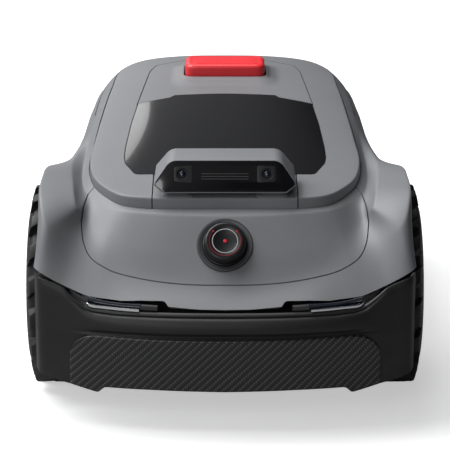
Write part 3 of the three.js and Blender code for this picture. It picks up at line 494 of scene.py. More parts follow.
def merge_into(target, *others):
    """Joins finished meshes into one object, keeping their materials."""
    bm = bmesh.new()
    for obj in (target,) + others:
        start = len(bm.faces)
        bm.from_mesh(obj.data)
        bm.faces.ensure_lookup_table()
        if obj is not target:
            names = [m.name for m in target.data.materials]
            for m in filter(None, obj.data.materials):
                if m.name not in names:
                    target.data.materials.append(m)
                    names.append(m.name)
            moved = [names.index(m.name) if m else 0 for m in obj.data.materials] or [0]
            for face in bm.faces[start:]:
                face.material_index = moved[min(face.material_index, len(moved) - 1)]
    bm.to_mesh(target.data)
    bm.free()
    for obj in others:
        bpy.data.objects.remove(obj)
    return target


# ---------------------------------------------------------------- shader groups
def shader_group(name, inputs, outputs):
    tree = bpy.data.node_groups.new(name, "ShaderNodeTree")
    for label, value in inputs:
        tree.interface.new_socket(label, in_out="INPUT", socket_type="NodeSocketFloat").default_value = value
    for label in outputs:
        tree.interface.new_socket(label, in_out="OUTPUT", socket_type="NodeSocketFloat")
    return tree, tree.nodes.new("NodeGroupInput"), tree.nodes.new("NodeGroupOutput")


def calc(tree, operation, a, b=0.0, c=0.0, clamp=False):
    node = tree.nodes.new("ShaderNodeMath")
    node.operation, node.use_clamp = operation, clamp
    for socket, value in zip(node.inputs, (a, b, c)):
        if isinstance(value, bpy.types.NodeSocket):
            tree.links.new(value, socket)
        else:
            socket.default_value = value
    return node.outputs[0]


def noise(tree, scale, detail=3.0, rough=0.55, stretch=None):
    coords = tree.nodes.new("ShaderNodeTexCoord").outputs["Object"]
    if stretch:
        mapping = tree.nodes.new("ShaderNodeMapping")
        mapping.inputs["Scale"].default_value = stretch
        tree.links.new(coords, mapping.inputs["Vector"])
        coords = mapping.outputs[0]
    node = tree.nodes.new("ShaderNodeTexNoise")
    node.inputs["Detail"].default_value, node.inputs["Roughness"].default_value = detail, rough
    tree.links.new(coords, node.inputs["Vector"])
    if isinstance(scale, bpy.types.NodeSocket):
        tree.links.new(scale, node.inputs["Scale"])
    else:
        node.inputs["Scale"].default_value = scale
    return node.outputs[0]


def grain_group():
    """The fine spark-eroded grain of a moulding, and slow changes in its tone."""
    found = bpy.data.node_groups.get("Moulded grain")
    if found:
        return found
    tree, given, result = shader_group("Moulded grain", [("Scale", 900.0), ("Cloud scale", 14.0)],
                                       ["Height", "Speck", "Cloud"])
    fine = noise(tree, given.outputs["Scale"], 2.0, 0.6)
    coarse = noise(tree, calc(tree, "MULTIPLY", given.outputs["Scale"], 0.4), 2.0, 0.5)
    tree.links.new(calc(tree, "ADD", calc(tree, "MULTIPLY", fine, 0.6), calc(tree, "MULTIPLY", coarse, 0.4)),
                   result.inputs["Height"])
    tree.links.new(calc(tree, "MULTIPLY_ADD", calc(tree, "SUBTRACT", fine, 0.5), 2.2, 0.5, clamp=True),
                   result.inputs["Speck"])
    tree.links.new(noise(tree, given.outputs["Cloud scale"], 3.0, 0.5), result.inputs["Cloud"])
    return tree


def wear_group():
    """Polished rubbed spots in patches of noise, and fine scratches."""
    found = bpy.data.node_groups.get("Rubbed spots")
    if found:
        return found
    tree, given, result = shader_group("Rubbed spots", [("Scale", 55.0), ("Amount", 0.2)], ["Mask", "Scratch"])
    patch = noise(tree, given.outputs["Scale"], 5.0, 0.65)
    edge = calc(tree, "SUBTRACT", 0.72, calc(tree, "MULTIPLY", given.outputs["Amount"], 0.3))
    mask = calc(tree, "MULTIPLY", calc(tree, "SUBTRACT", patch, edge), 9.0, clamp=True)
    tree.links.new(mask, result.inputs["Mask"])
    lines = noise(tree, 60.0, 2.0, 0.4, stretch=(1.0, 22.0, 22.0))
    tree.links.new(calc(tree, "GREATER_THAN", lines, 0.66), result.inputs["Scratch"])
    return tree


def dust_group():
    """Pale dust in patches that gathers near the ground."""
    found = bpy.data.node_groups.get("Ground dust")
    if found:
        return found
    tree, given, result = shader_group("Ground dust", [("Top", 0.09), ("Amount", 0.3)], ["Mask"])
    position = tree.nodes.new("ShaderNodeSeparateXYZ")
    tree.links.new(tree.nodes.new("ShaderNodeTexCoord").outputs["Object"], position.inputs[0])
    height = calc(tree, "SUBTRACT", 1.0, calc(tree, "DIVIDE", position.outputs[2], given.outputs["Top"]), clamp=True)
    patch = noise(tree, 30.0, 6.0, 0.7)
    spread = calc(tree, "MULTIPLY_ADD", calc(tree, "SUBTRACT", patch, 0.42), 3.0, 0.0, clamp=True)
    tree.links.new(calc(tree, "MULTIPLY", calc(tree, "MULTIPLY", spread, height), given.outputs["Amount"]),
                   result.inputs["Mask"])
    return tree


def brushed_group():
    """Fine lines of a turned or ground metal face."""
    found = bpy.data.node_groups.get("Ground lines")
    if found:
        return found
    tree, given, result = shader_group("Ground lines", [("Scale", 400.0)], ["Height", "Streak"])
    lines = noise(tree, given.outputs["Scale"], 2.0, 0.5, stretch=(0.06, 1.0, 1.0))
    tree.links.new(lines, result.inputs["Height"])
    tree.links.new(lines, result.inputs["Streak"])
    return tree


def weave_group():
    """A two-by-two twill in the plane of the panel: which strand is up, a painted highlight on the upper strands, their
    round, and their fibres.
    """
    found = bpy.data.node_groups.get("Twill weave")
    if found:
        return found
    tree, given, result = shader_group("Twill weave", [("Strand", 0.00215)], ["Light", "Height", "Fibre"])
    place = tree.nodes.new("ShaderNodeSeparateXYZ")
    tree.links.new(tree.nodes.new("ShaderNodeTexCoord").outputs["Object"], place.inputs[0])
    u = calc(tree, "DIVIDE", place.outputs[0], given.outputs["Strand"])
    v = calc(tree, "DIVIDE", place.outputs[2], given.outputs["Strand"])
    step = calc(tree, "FLOORED_MODULO", calc(tree, "SUBTRACT", calc(tree, "FLOOR", u), calc(tree, "FLOOR", v)), 4.0)
    warp = calc(tree, "LESS_THAN", step, 1.5)
    crest = calc(tree, "LESS_THAN", step, 0.5)
    fu, fv = calc(tree, "FRACT", u), calc(tree, "FRACT", v)

    def bulge(t):
        return calc(tree, "SINE", calc(tree, "MULTIPLY", t, math.pi))

    across_warp, across_weft = bulge(fu), bulge(fv)
    round_warp = calc(tree, "MULTIPLY", warp, calc(tree, "POWER", across_warp, 0.6))
    round_weft = calc(tree, "MULTIPLY", calc(tree, "SUBTRACT", 1.0, warp), calc(tree, "POWER", across_weft, 0.6))
    height = calc(tree, "ADD", round_warp, calc(tree, "MULTIPLY", round_weft, 0.55))
    # Painted highlight: a paler colour on the crest of each upper strand, and a weaker one along the other upper
    # strands.
    crest_highlight = calc(tree, "MULTIPLY", calc(tree, "MULTIPLY", crest, across_warp), calc(tree, "POWER", across_weft, 0.5))
    warp_highlight = calc(tree, "MULTIPLY", calc(tree, "SUBTRACT", warp, crest), calc(tree, "MULTIPLY", across_warp, 0.22))
    tree.links.new(calc(tree, "ADD", crest_highlight, warp_highlight), result.inputs["Light"])
    tree.links.new(height, result.inputs["Height"])
    tree.links.new(noise(tree, 1500.0, 2.0, 0.5, stretch=(1.0, 1.0, 0.12)), result.inputs["Fibre"])
    return tree


# ---------------------------------------------------------------- finishes
def mixed(tree, share, a, b):
    node = tree.nodes.new("ShaderNodeMix")
    node.data_type = "RGBA"
    for socket, value in ((node.inputs[0], share), (node.inputs[6], a), (node.inputs[7], b)):
        if isinstance(value, bpy.types.NodeSocket):
            tree.links.new(value, socket)
        else:
            socket.default_value = value if isinstance(value, float) else tuple(value)[:3] + (1.0,)
    return node.outputs[2]


def use(tree, group, **values):
    node = tree.nodes.new("ShaderNodeGroup")
    node.node_tree = group
    for label, value in values.items():
        node.inputs[label.replace("_", " ")].default_value = value
    return node


def shade(colour, factor):
    return tuple(min(1.0, c * factor) for c in colour)


def surface(name, colour, rough, metal=0.0, coat=0.0, coat_rough=0.05, grain=900.0, depth=0.00006, tone=0.12,
            speck=0.05, spread=0.1, wear=0.0, wear_colour=None, dust=0.0, dust_top=0.12, specular=0.5):
    """A moulded or cast finish: tone clouds and specks in the colour, grain in the bump, rubbed spots and dust."""
    made = bpy.data.materials.get(name)
    if made:
        return made
    material = bpy.data.materials.new(name)
    material.use_nodes = True
    tree = material.node_tree
    shader = tree.nodes["Principled BSDF"]
    shader.inputs["Metallic"].default_value = metal
    shader.inputs["Coat Weight"].default_value = coat
    shader.inputs["Coat Roughness"].default_value = coat_rough
    shader.inputs["Specular IOR Level"].default_value = specular
    texture = use(tree, grain_group(), Scale=grain)
    cloud = mixed(tree, texture.outputs["Cloud"], shade(colour, 1 - tone), shade(colour, 1 + tone))
    base = mixed(tree, calc(tree, "MULTIPLY", texture.outputs["Speck"], speck * 4), cloud, shade(colour, 1.7))
    roughness = calc(tree, "MULTIPLY_ADD", calc(tree, "SUBTRACT", texture.outputs["Cloud"], 0.5), spread * 2, rough)
    if wear:
        rubbed = use(tree, wear_group(), Amount=wear)
        base = mixed(tree, calc(tree, "MULTIPLY", rubbed.outputs["Mask"], wear), base,
                     wear_colour or shade(colour, 1.6))
        roughness = calc(tree, "SUBTRACT", roughness, calc(tree, "MULTIPLY", rubbed.outputs["Mask"], wear * 0.25))
    if dust:
        dirt = use(tree, dust_group(), Amount=dust, Top=dust_top)
        base = mixed(tree, dirt.outputs["Mask"], base, (0.2, 0.17, 0.13))
        roughness = calc(tree, "ADD", roughness, calc(tree, "MULTIPLY", dirt.outputs["Mask"], 0.3))
    tree.links.new(base, shader.inputs["Base Color"])
    tree.links.new(calc(tree, "MAXIMUM", roughness, 0.02), shader.inputs["Roughness"])
    bump = tree.nodes.new("ShaderNodeBump")
    bump.inputs["Distance"].default_value = depth
    bump.inputs["Strength"].default_value = 1.0
    tree.links.new(texture.outputs["Height"], bump.inputs["Height"])
    tree.links.new(bump.outputs[0], shader.inputs["Normal"])
    return material


def metal_surface(name, colour, rough, scale=400.0, depth=0.00002):
    """A ground or turned metal with fine lines in its colour, roughness and bump."""
    made = bpy.data.materials.get(name)
    if made:
        return made
    material = bpy.data.materials.new(name)
    material.use_nodes = True
    tree = material.node_tree
    shader = tree.nodes["Principled BSDF"]
    shader.inputs["Metallic"].default_value = 1.0
    lines = use(tree, brushed_group(), Scale=scale)
    cloud = use(tree, grain_group(), Scale=300.0)
    base = mixed(tree, lines.outputs["Streak"], shade(colour, 0.78), shade(colour, 1.12))
    base = mixed(tree, calc(tree, "MULTIPLY", cloud.outputs["Cloud"], 0.3), base, shade(colour, 0.6))
    roughness = calc(tree, "MULTIPLY_ADD", lines.outputs["Streak"], 0.22, rough - 0.08)
    tree.links.new(base, shader.inputs["Base Color"])
    tree.links.new(roughness, shader.inputs["Roughness"])
    bump = tree.nodes.new("ShaderNodeBump")
    bump.inputs["Distance"].default_value = depth
    tree.links.new(lines.outputs["Height"], bump.inputs["Height"])
    tree.links.new(bump.outputs[0], shader.inputs["Normal"])
    return material


def weave_surface():
    """Clear-coated black twill with painted highlights on the crests along the diagonal."""
    made = bpy.data.materials.get("Twill panel")
    if made:
        return made
    material = bpy.data.materials.new("Twill panel")
    material.use_nodes = True
    tree = material.node_tree
    shader = tree.nodes["Principled BSDF"]
    shader.inputs["Coat Weight"].default_value = 0.2
    shader.inputs["Coat Roughness"].default_value = 0.22
    weave = use(tree, weave_group(), Strand=sizes().weave)
    fibre = mixed(tree, weave.outputs["Fibre"], (0.003, 0.003, 0.0032), (0.011, 0.011, 0.0115))
    # The pale grey mixed in here is the painted highlight on the weave's crests.
    base = mixed(tree, calc(tree, "MULTIPLY", weave.outputs["Light"], 0.75), fibre, (0.19, 0.19, 0.195))
    tree.links.new(base, shader.inputs["Base Color"])
    tree.links.new(calc(tree, "MULTIPLY_ADD", weave.outputs["Fibre"], 0.2, 0.3), shader.inputs["Roughness"])
    bump = tree.nodes.new("ShaderNodeBump")
    bump.inputs["Distance"].default_value = 0.00018
    tree.links.new(weave.outputs["Height"], bump.inputs["Height"])
    tree.links.new(bump.outputs[0], shader.inputs["Normal"])
    return material


def finish(slot):
    """The finish that each of the record's material slots has."""
    c = colours()
    table = {
        "shell_grey": lambda: surface("Panel grey", c.body, 0.52, metal=0.12, grain=1100, depth=0.00005, tone=0.05,
                                      speck=0.05, spread=0.05, wear=0.12, dust=0.1, dust_top=0.16),
        "gloss_black": lambda: surface("Gloss black", c.gloss, 0.1, coat=0.6, coat_rough=0.03, grain=250,
                                       depth=0.000004, tone=0.1, speck=0.02, spread=0.03, wear=0.1),
        "matte_black": lambda: surface("Matte black", c.dark, 0.5, grain=1300, depth=0.00008, tone=0.15, speck=0.04,
                                       spread=0.08, wear=0.25, dust=0.25, dust_top=0.1),
        "carbon_face": weave_surface,
        "stop_red": lambda: surface("Stop red", c.stop, 0.36, grain=1200, depth=0.00003, tone=0.06, speck=0.02,
                                    wear=0.1, wear_colour=(0.9, 0.1, 0.1)),
        "key_grey": lambda: surface("Key grey", (0.3, 0.31, 0.33), 0.55, grain=1500, depth=0.00006, wear=0.3),
        "dark_lens": lambda: surface("Dark lens", (0.008, 0.011, 0.024), 0.08, coat=0.5, coat_rough=0.02, grain=200,
                                     depth=0.000002, tone=0.4, speck=0.0, spread=0.02),
        "bright_trim": lambda: metal_surface("Bright trim", (0.92, 0.93, 0.95), 0.12, 300.0, 0.000005),
        "bare_steel": lambda: metal_surface("Bare steel", (0.56, 0.56, 0.57), 0.34),
        "blade_steel": lambda: metal_surface("Blade steel", (0.66, 0.66, 0.67), 0.26, 700.0),
        "motor_case": lambda: surface("Motor case", (0.45, 0.45, 0.46), 0.42, metal=0.9, grain=700, depth=0.0001,
                                      tone=0.12, wear=0.2),
        "battery_case": lambda: surface("Battery case", (0.05, 0.055, 0.065), 0.58, grain=900, depth=0.00012,
                                        wear=0.3),
        "circuit_green": lambda: surface("Circuit green", (0.015, 0.14, 0.05), 0.35, coat=0.3, grain=350, tone=0.35,
                                         speck=0.15, depth=0.00005),
        "tyre_rubber": lambda: surface("Tyre rubber", c.rubber, 0.55, grain=600, depth=0.00014, tone=0.25, speck=0.04,
                                       spread=0.1, wear=0.4, wear_colour=(0.05, 0.048, 0.045), dust=0.35,
                                       dust_top=0.12),
        "rim_black": lambda: surface("Rim black", (0.03, 0.03, 0.032), 0.4, grain=1000, depth=0.00006, tone=0.15,
                                     wear=0.25, dust=0.2, dust_top=0.2),
    }
    return table[slot]()


def painted(name, colour):
    """A thin printed or painted mark."""
    return surface(name, colour, 0.4, grain=800, depth=0.000008, tone=0.08, speck=0.0, spread=0.05)


# ---------------------------------------------------------------- body surface
def between(a, b, c, d, t):
    """A point on the curve from b to c that heads in from a and out towards d."""
    return 0.5 * (2 * b + (c - a) * t + (2 * a - 5 * b + 4 * c - d) * t**2 + (3 * b - a - 3 * c + d) * t**3)


def body_rows():
    """Rows of the body's outer surface, from the foot of the deck's step down to the hem."""
    foot = deck_ring(DRAFT + GROOVE, across(STEP_HEIGHT))
    ledge, slope, shoulder, hem = (loop_through([s[k] for s in STATIONS])
                                   for k in ("ledge", "slope", "shoulder", "hem"))
    sharp_slope = across([s["crease"][0] for s in STATIONS])[:, None]
    sharp_shoulder = across([s["crease"][1] for s in STATIONS])[:, None]

    def toward(plain, straight, share):
        return plain * (1 - share) + straight * share

    stops = (0.0, 0.025, 0.06, 0.12, 0.22, 0.36, 0.5, 0.64, 0.78, 0.88, 0.94, 0.975)
    rows = [foot, foot * 0.6 + ledge * 0.4, foot * 0.25 + ledge * 0.75]
    bends = []
    spans = [(foot, ledge, slope, toward(shoulder, 2 * slope - ledge, sharp_slope)),
             (toward(ledge, 2 * slope - shoulder, sharp_slope), slope, shoulder,
              toward(hem, 2 * shoulder - slope, sharp_shoulder)),
             (toward(slope, 2 * shoulder - hem, sharp_shoulder), shoulder, hem, 2 * hem - shoulder)]
    for a, b, c, d in spans:
        bends.append(len(rows))
        rows += [between(a, b, c, d, t) for t in stops]
    rows.append(hem)
    rows = np.array(rows)
    for middle in bends:
        for _ in range(3):
            old = rows.copy()
            for r in range(middle - 2, middle + 3):
                rows[r] = old[r] * 0.5 + (old[r - 1] + old[r + 1]) * 0.25
    return rows


def body_block():
    """The whole lower body as one closed wall; its panels are cut from it."""
    rows = body_rows()
    inner = behind(rows, WALL)
    inner[0] = rows[0] - np.array([0, 0, WALL + 1.0])
    return wall_between(rows, inner)


def body_liner():
    """A thin layer behind the body's wall, for the lip that backs a seam."""
    rows = body_rows()[2:]
    return wall_between(behind(rows, WALL + 0.4), behind(rows, WALL + 1.8))


def deck_block():
    """The whole raised deck as one closed wall; the deck, plinth, lid and rear cover are cut from it."""
    radius = sizes().edge_round * 1000
    outer = [deck_ring(DRAFT, across(STEP_HEIGHT) + SKIRT), deck_ring(0.7, radius + 1.5)]
    for k in range(7):
        a = math.radians(15 * k)
        outer.append(deck_ring(0.4 - radius * (1 - math.cos(a)), radius * (1 - math.sin(a))))
    rim = outer[-1]
    spine = np.column_stack([np.zeros(len(rim)), rim[:, 1] * SPINE_SHARE])
    edge_rows = len(outer) - 1
    for k in range(1, DECK_ROWS + 1):
        share = k / DECK_ROWS
        flat = rim[:, :2] * (1 - share) + spine * share
        outer.append(np.column_stack([flat, deck_z(flat[:, 0], flat[:, 1])]))
    shrunk = rim[:, :2] * (1 - WALL / np.hypot(rim[:, 0], rim[:, 1]))[:, None]
    inner = []
    for r, ring in enumerate(outer):
        share = max(r - edge_rows, 0) / DECK_ROWS
        flat = shrunk * (1 - share) + spine * share
        height = np.minimum(ring[:, 2], deck_z(flat[:, 0], flat[:, 1]) - WALL)
        inner.append(np.column_stack([flat, height]))
    points, faces = wall_between(outer, inner)
    count, rows = len(rim), len(outer)
    # Both skins close on the spine, so nothing joins them there.
    return points, [f for f in faces if not (rows - 1) * count <= min(f) < rows * count <= max(f)]


def nose_outline():
    front = smooth_run(sorted(both_sides([(0, -276), (48, -274.5), (97, -268), (126, -260.5), (145, -249),
                                          (152.5, -235), (156, -213)])), 10)
    return np.concatenate([front, [(151, -166), (140, -150), (0, -196), (-140, -150), (-151, -166)]])


def side_cover_outline(side):
    right = [(130, 105), (158.5, 105), (157.5, 150), (156, 200), (150, 256), (141, 286), (131, 307), (104, 285),
             (120, 240)]
    return right if side > 0 else [(-x, y) for x, y in right][::-1]


def lid_outline():
    side = [(112, -112), (114, -92), (113.8, -60), (110.5, 20), (105.3, 95)]
    half = [(0, -156.5), (70, -156.5), (80, -147), (99.5, -146.6)] + side + [(66.6, 112), (61.2, 120.5), (0, 125.5)]
    corners = both_sides(half)
    radius = {(80, -147): 5, (99.5, -146.6): 8, (112, -112): 40, (114, -92): 30, (105.3, 95): 3, (66.6, 112): 2,
              (61.2, 120.5): 2, (0, 125.5): 200, (113.8, -60): 60, (110.5, 20): 60}
    return rounded(corners, [radius.get((abs(x), y), 2.0) for x, y in corners], 5)


def rear_outline():
    half = [(0, 60), (106.6, 88), (95.2, 230), (88.4, 258), (47, 281.5), (0, 283)]
    corners = both_sides(half)
    radius = {(95.2, 230): 60, (88.4, 258): 12, (47, 281.5): 60, (0, 283): 100}
    return rounded(corners, [radius.get((abs(x), y), 2.0) for x, y in corners], 6)


def stop_outline(inset=0.0, z=None, steps=7):
    s = STOP
    half, front, back = s["half"] - inset, s["front"] + inset, s["back"] - inset
    flat = rounded([(half, front), (half, back), (-half, back), (-half, front)], max(s["radius"] - inset * 0.7, 3),
                   steps)
    return flat if z is None else np.column_stack([flat, np.full(len(flat), float(z))])


def camera_ring(inset, shift):
    """The camera bar's outline in its leaning face, moved back by a distance."""
    z1, z0 = CAMERA["top"][1], CAMERA["bottom"][1]
    half = [(60.5 - inset * 0.6, z1 - inset), (78.5 - inset, 245), (67 - inset * 0.6, z0 + inset)]
    corners = half + [(-x, z) for x, z in half[::-1]]
    flat = rounded(corners, [15, 4, 3.5, 3.5, 4, 15], 8)
    (y0, low_z), (y1, high_z) = CAMERA["bottom"], CAMERA["top"]
    y = y0 + (flat[:, 1] - low_z) * (y1 - y0) / (high_z - low_z) + shift
    return np.column_stack([flat[:, 0], y, flat[:, 1]])


FACE_UP = Vector((0, 16, 34)).normalized()
FACE_OUT = Vector((0, -FACE_UP.z, FACE_UP.y))


def face_point(x, z, out=0.0):
    y = CAMERA["bottom"][0] + (z - CAMERA["bottom"][1]) * 16 / 34
    return Vector((x, y, z)) + FACE_OUT * out


# ---------------------------------------------------------------- operators
class MowerOperator:
    bl_options = {"REGISTER", "UNDO"}

    def execute(self, context):
        self.make()
        return {"FINISHED"}


class MOWER_OT_shell(MowerOperator, bpy.types.Operator):
    """Makes the lower body: shell, nose cover and the two rear side covers"""
    bl_idname = "mower.shell"
    bl_label = "Body Shell"

    def make(self):
        gap = sizes().seam * 1000
        grey = finish("shell_grey")

        def arches():
            tools = []
            for axle in (FRONT_AXLE, REAR_AXLE):
                for side in (1, -1):
                    near = axle["inner"] - 2
                    profile = [(0.01, 0), (axle["radius"] + 5, 0), (axle["radius"] + 5, 90), (0.01, 90)]
                    tools.append(make_object("arch", lathe(profile, (side * near, axle["y"], axle["radius"]),
                                                           (side, 0, 0), 96)))
            return tools

        shell = make_object("body_shell", body_block(), grey)
        carve(shell, "DIFFERENCE", *arches())
        carve(shell, "DIFFERENCE", column(grown(nose_outline(), gap / 2)),
              *[column(grown(side_cover_outline(side), gap / 2)) for side in (1, -1)])
        tab = [(-300, -20), (300, -20), (300, 150), (175, 150), (150, 143.6), (131, 141.8), (111, 140.6),
               (90, 141.5), (66.5, 141.3), (63.5, 140.6), (58.5, 135.8), (56, 135.2), (0, 134.4)]
        right = tab[3:]
        edge = right + [(-x, z) for x, z in right[:-1][::-1]]
        outline = edge + [(-300, 150), (-300, 60), (300, 60), (300, 150)]
        tool = make_object("tab", stack([[(x, y, z) for x, z in outline] for y in (-340, -262)]))
        carve(shell, "DIFFERENCE", tool)
        settle(shell, "root", "outer_shell")
        nose = make_object("nose_cover", body_block(), grey)
        carve(nose, "INTERSECT", column(grown(nose_outline(), -gap / 2)))
        axis = (0, -math.cos(math.radians(SENSOR["up"])), math.sin(math.radians(SENSOR["up"])))
        seat = lathe([(0.01, -40), (24.4, -40), (24.4, -1), (30.4, -1), (30.4, 40), (0.01, 40)],
                     (0, SENSOR["y"], SENSOR["z"]), axis, 96)
        carve(nose, "DIFFERENCE", make_object("seat", seat))
        # A backing strip behind the nose's seam closes the view into the hollow body; its matte black is painted shade,
        # so the seam reads dark.
        lip = make_object("nose_lip", body_liner(), finish("matte_black"))
        carve(lip, "INTERSECT", column(grown(nose_outline(), 5)))
        carve(lip, "DIFFERENCE", column(grown(nose_outline(), -5)), *arches())
        merge_into(nose, lip)
        settle(nose, "root", "nose_panel")
        for name, side in (("right", 1), ("left", -1)):
            cover = make_object(f"side_cover_{name}_moulded", body_block(), grey)
            carve(cover, "INTERSECT", column(grown(side_cover_outline(side), -gap / 2), 206, 290))
            settle(cover, "root", f"side_cover_{name}")


class MOWER_OT_deck(MowerOperator, bpy.types.Operator):
    """Makes the raised deck, the camera's plinth with its two feet, and the rear cover with the swept collar"""
    bl_idname = "mower.deck"
    bl_label = "Deck"

    def make(self):
        gap = sizes().seam * 1000
        grey = finish("shell_grey")
        plinth_box = [(-79, -240), (79, -240), (79, 0), (-79, 0)]
        deck = make_object("deck_cover", deck_block(), grey)
        carve(deck, "DIFFERENCE", column(grown(lid_outline(), gap / 2)), column(grown(rear_outline(), gap / 2)),
              column(grown(plinth_box, gap / 2)))
        settle(deck, "root", "deck_panel")

        plinth = make_object("camera_plinth", deck_block(), grey)
        carve(plinth, "INTERSECT", column(grown(plinth_box, -gap / 2)))
        carve(plinth, "DIFFERENCE", column(grown(lid_outline(), gap / 2)))
        feet = [make_object("foot", self.foot(side)) for side in (1, -1)]
        carve(plinth, "UNION", *feet)
        settle(plinth, "root", "camera_base")

        rear = make_object("rear_cover", deck_block(), grey)
        carve(rear, "INTERSECT", column(grown(rear_outline(), -gap / 2)))
        carve(rear, "DIFFERENCE", column(grown(lid_outline(), gap / 2)))
        carve(rear, "UNION", make_object("collar", self.collar()))
        carve(rear, "DIFFERENCE", column(stop_outline(-1.5)))
        settle(rear, "root", "rear_panel", 38)

    def foot(self, side):
        """A foot that flares out into the deck, under one end of the camera bar."""
        rings = []
        for share, grow in ((-0.2, 5.5), (0.12, 5), (0.2, 2.6), (0.34, 1.0), (0.6, 0.2), (1.0, 0)):
            flat = rounded([(39 - grow, -207 - grow), (66 + grow * 0.6, -207 - grow), (66 + grow * 0.6, -170),
                            (39 - grow, -170)], 4 + grow * 0.3, 4)
            low_z = deck_z(flat[:, 0], flat[:, 1])
            under = 236 + (flat[:, 1] + 215) / 51 * 8 - 0.3
            rings.append(np.column_stack([flat[:, 0] * side, flat[:, 1], low_z + (under - low_z) * share]))
        return stack(rings)

    def collar(self):
        """The raised rim round the stop button and the skirt that runs out into the cover."""
        top = sizes().mound * 1000
        profile = [(1.2, -2.5), (1.2, top - 0.7), (1.5, top - 0.2), (2.1, top), (3.6, top), (4.6, top - 0.5),
                   (6.2, top - 1.9), (8.5, top * 0.5), (11.5, top * 0.24), (15.5, top * 0.07), (20, -0.15),
                   (20.5, -2.5)]
        rings = []
        for out, rise in profile:
            flat = stop_outline(-out, steps=9)
            sweep = 1 + 0.35 * ease(-(flat[:, 1] - 211) / 27, 0.6, 1.4) * (out > 5)
            flat[:, 1] = 211 + (flat[:, 1] - 211) * sweep
            rings.append(np.column_stack([flat, deck_z(flat[:, 0], flat[:, 1]) + rise]))
        points, _ = stack(rings)
        count = len(rings[0])
        faces = ring_faces(len(rings), count)
        last = (len(rings) - 1) * count
        faces += [[last + c, last + (c + 1) % count, (c + 1) % count, c] for c in range(count)]
        return points, faces


class MOWER_OT_lid(MowerOperator, bpy.types.Operator):
    """Makes the glossy control lid, which turns with its hinge"""
    bl_idname = "mower.lid"
    bl_label = "Control Lid"

    def make(self):
        lid = make_object("lid_cover", deck_block(), finish("gloss_black"))
        carve(lid, "INTERSECT", column(grown(lid_outline(), -sizes().seam * 300)))
        profile = [(0.01, -61), (2.3, -61), (2.3, 61), (0.01, 61)]
        carve(lid, "DIFFERENCE", make_object("pin room", lathe(profile, (0, -154.9, 238), (1, 0, 0), 24)))
        settle(lid, "lid", "control_lid")


class MOWER_OT_stop_button(MowerOperator, bpy.types.Operator):
    """Makes the red stop button with its rounded top and the fine line round it"""
    bl_idname = "mower.stop_button"
    bl_label = "Stop Button"

    def make(self):
        s = STOP
        radius = sizes().stop_round * 1000
        stem = stop_outline(0, s["foot"])
        angle = np.arctan2(stem[:, 1] - 211, stem[:, 0])
        round_stem = np.column_stack([s["stem"] * np.cos(angle), 211 + s["stem"] * np.sin(angle), stem[:, 2]])
        rings = [round_stem, round_stem + np.array([0, 0, s["bottom"] - s["foot"]]),
                 stop_outline(1.5, s["bottom"]), stop_outline(0.6, s["bottom"] + 0.6),
                 stop_outline(0.2, s["bottom"] + 8)]
        for k in range(9):
            a = math.radians(k * 90 / 8)
            rings.append(stop_outline(0.2 + radius * (1 - math.cos(a)), s["top"] - radius * (1 - math.sin(a)) - 0.6))
        top = s["top"] - 0.6
        for inset, drop in ((8.2, -0.05), (8.5, 0.3), (9.3, 0.3), (9.6, -0.08), (16, -0.35), (22, -0.55), (26, -0.6)):
            rings.append(stop_outline(inset, top - drop))
        add_piece("stop_cap", stack(rings), "stop_button", "stop_button", "stop_red", 40)


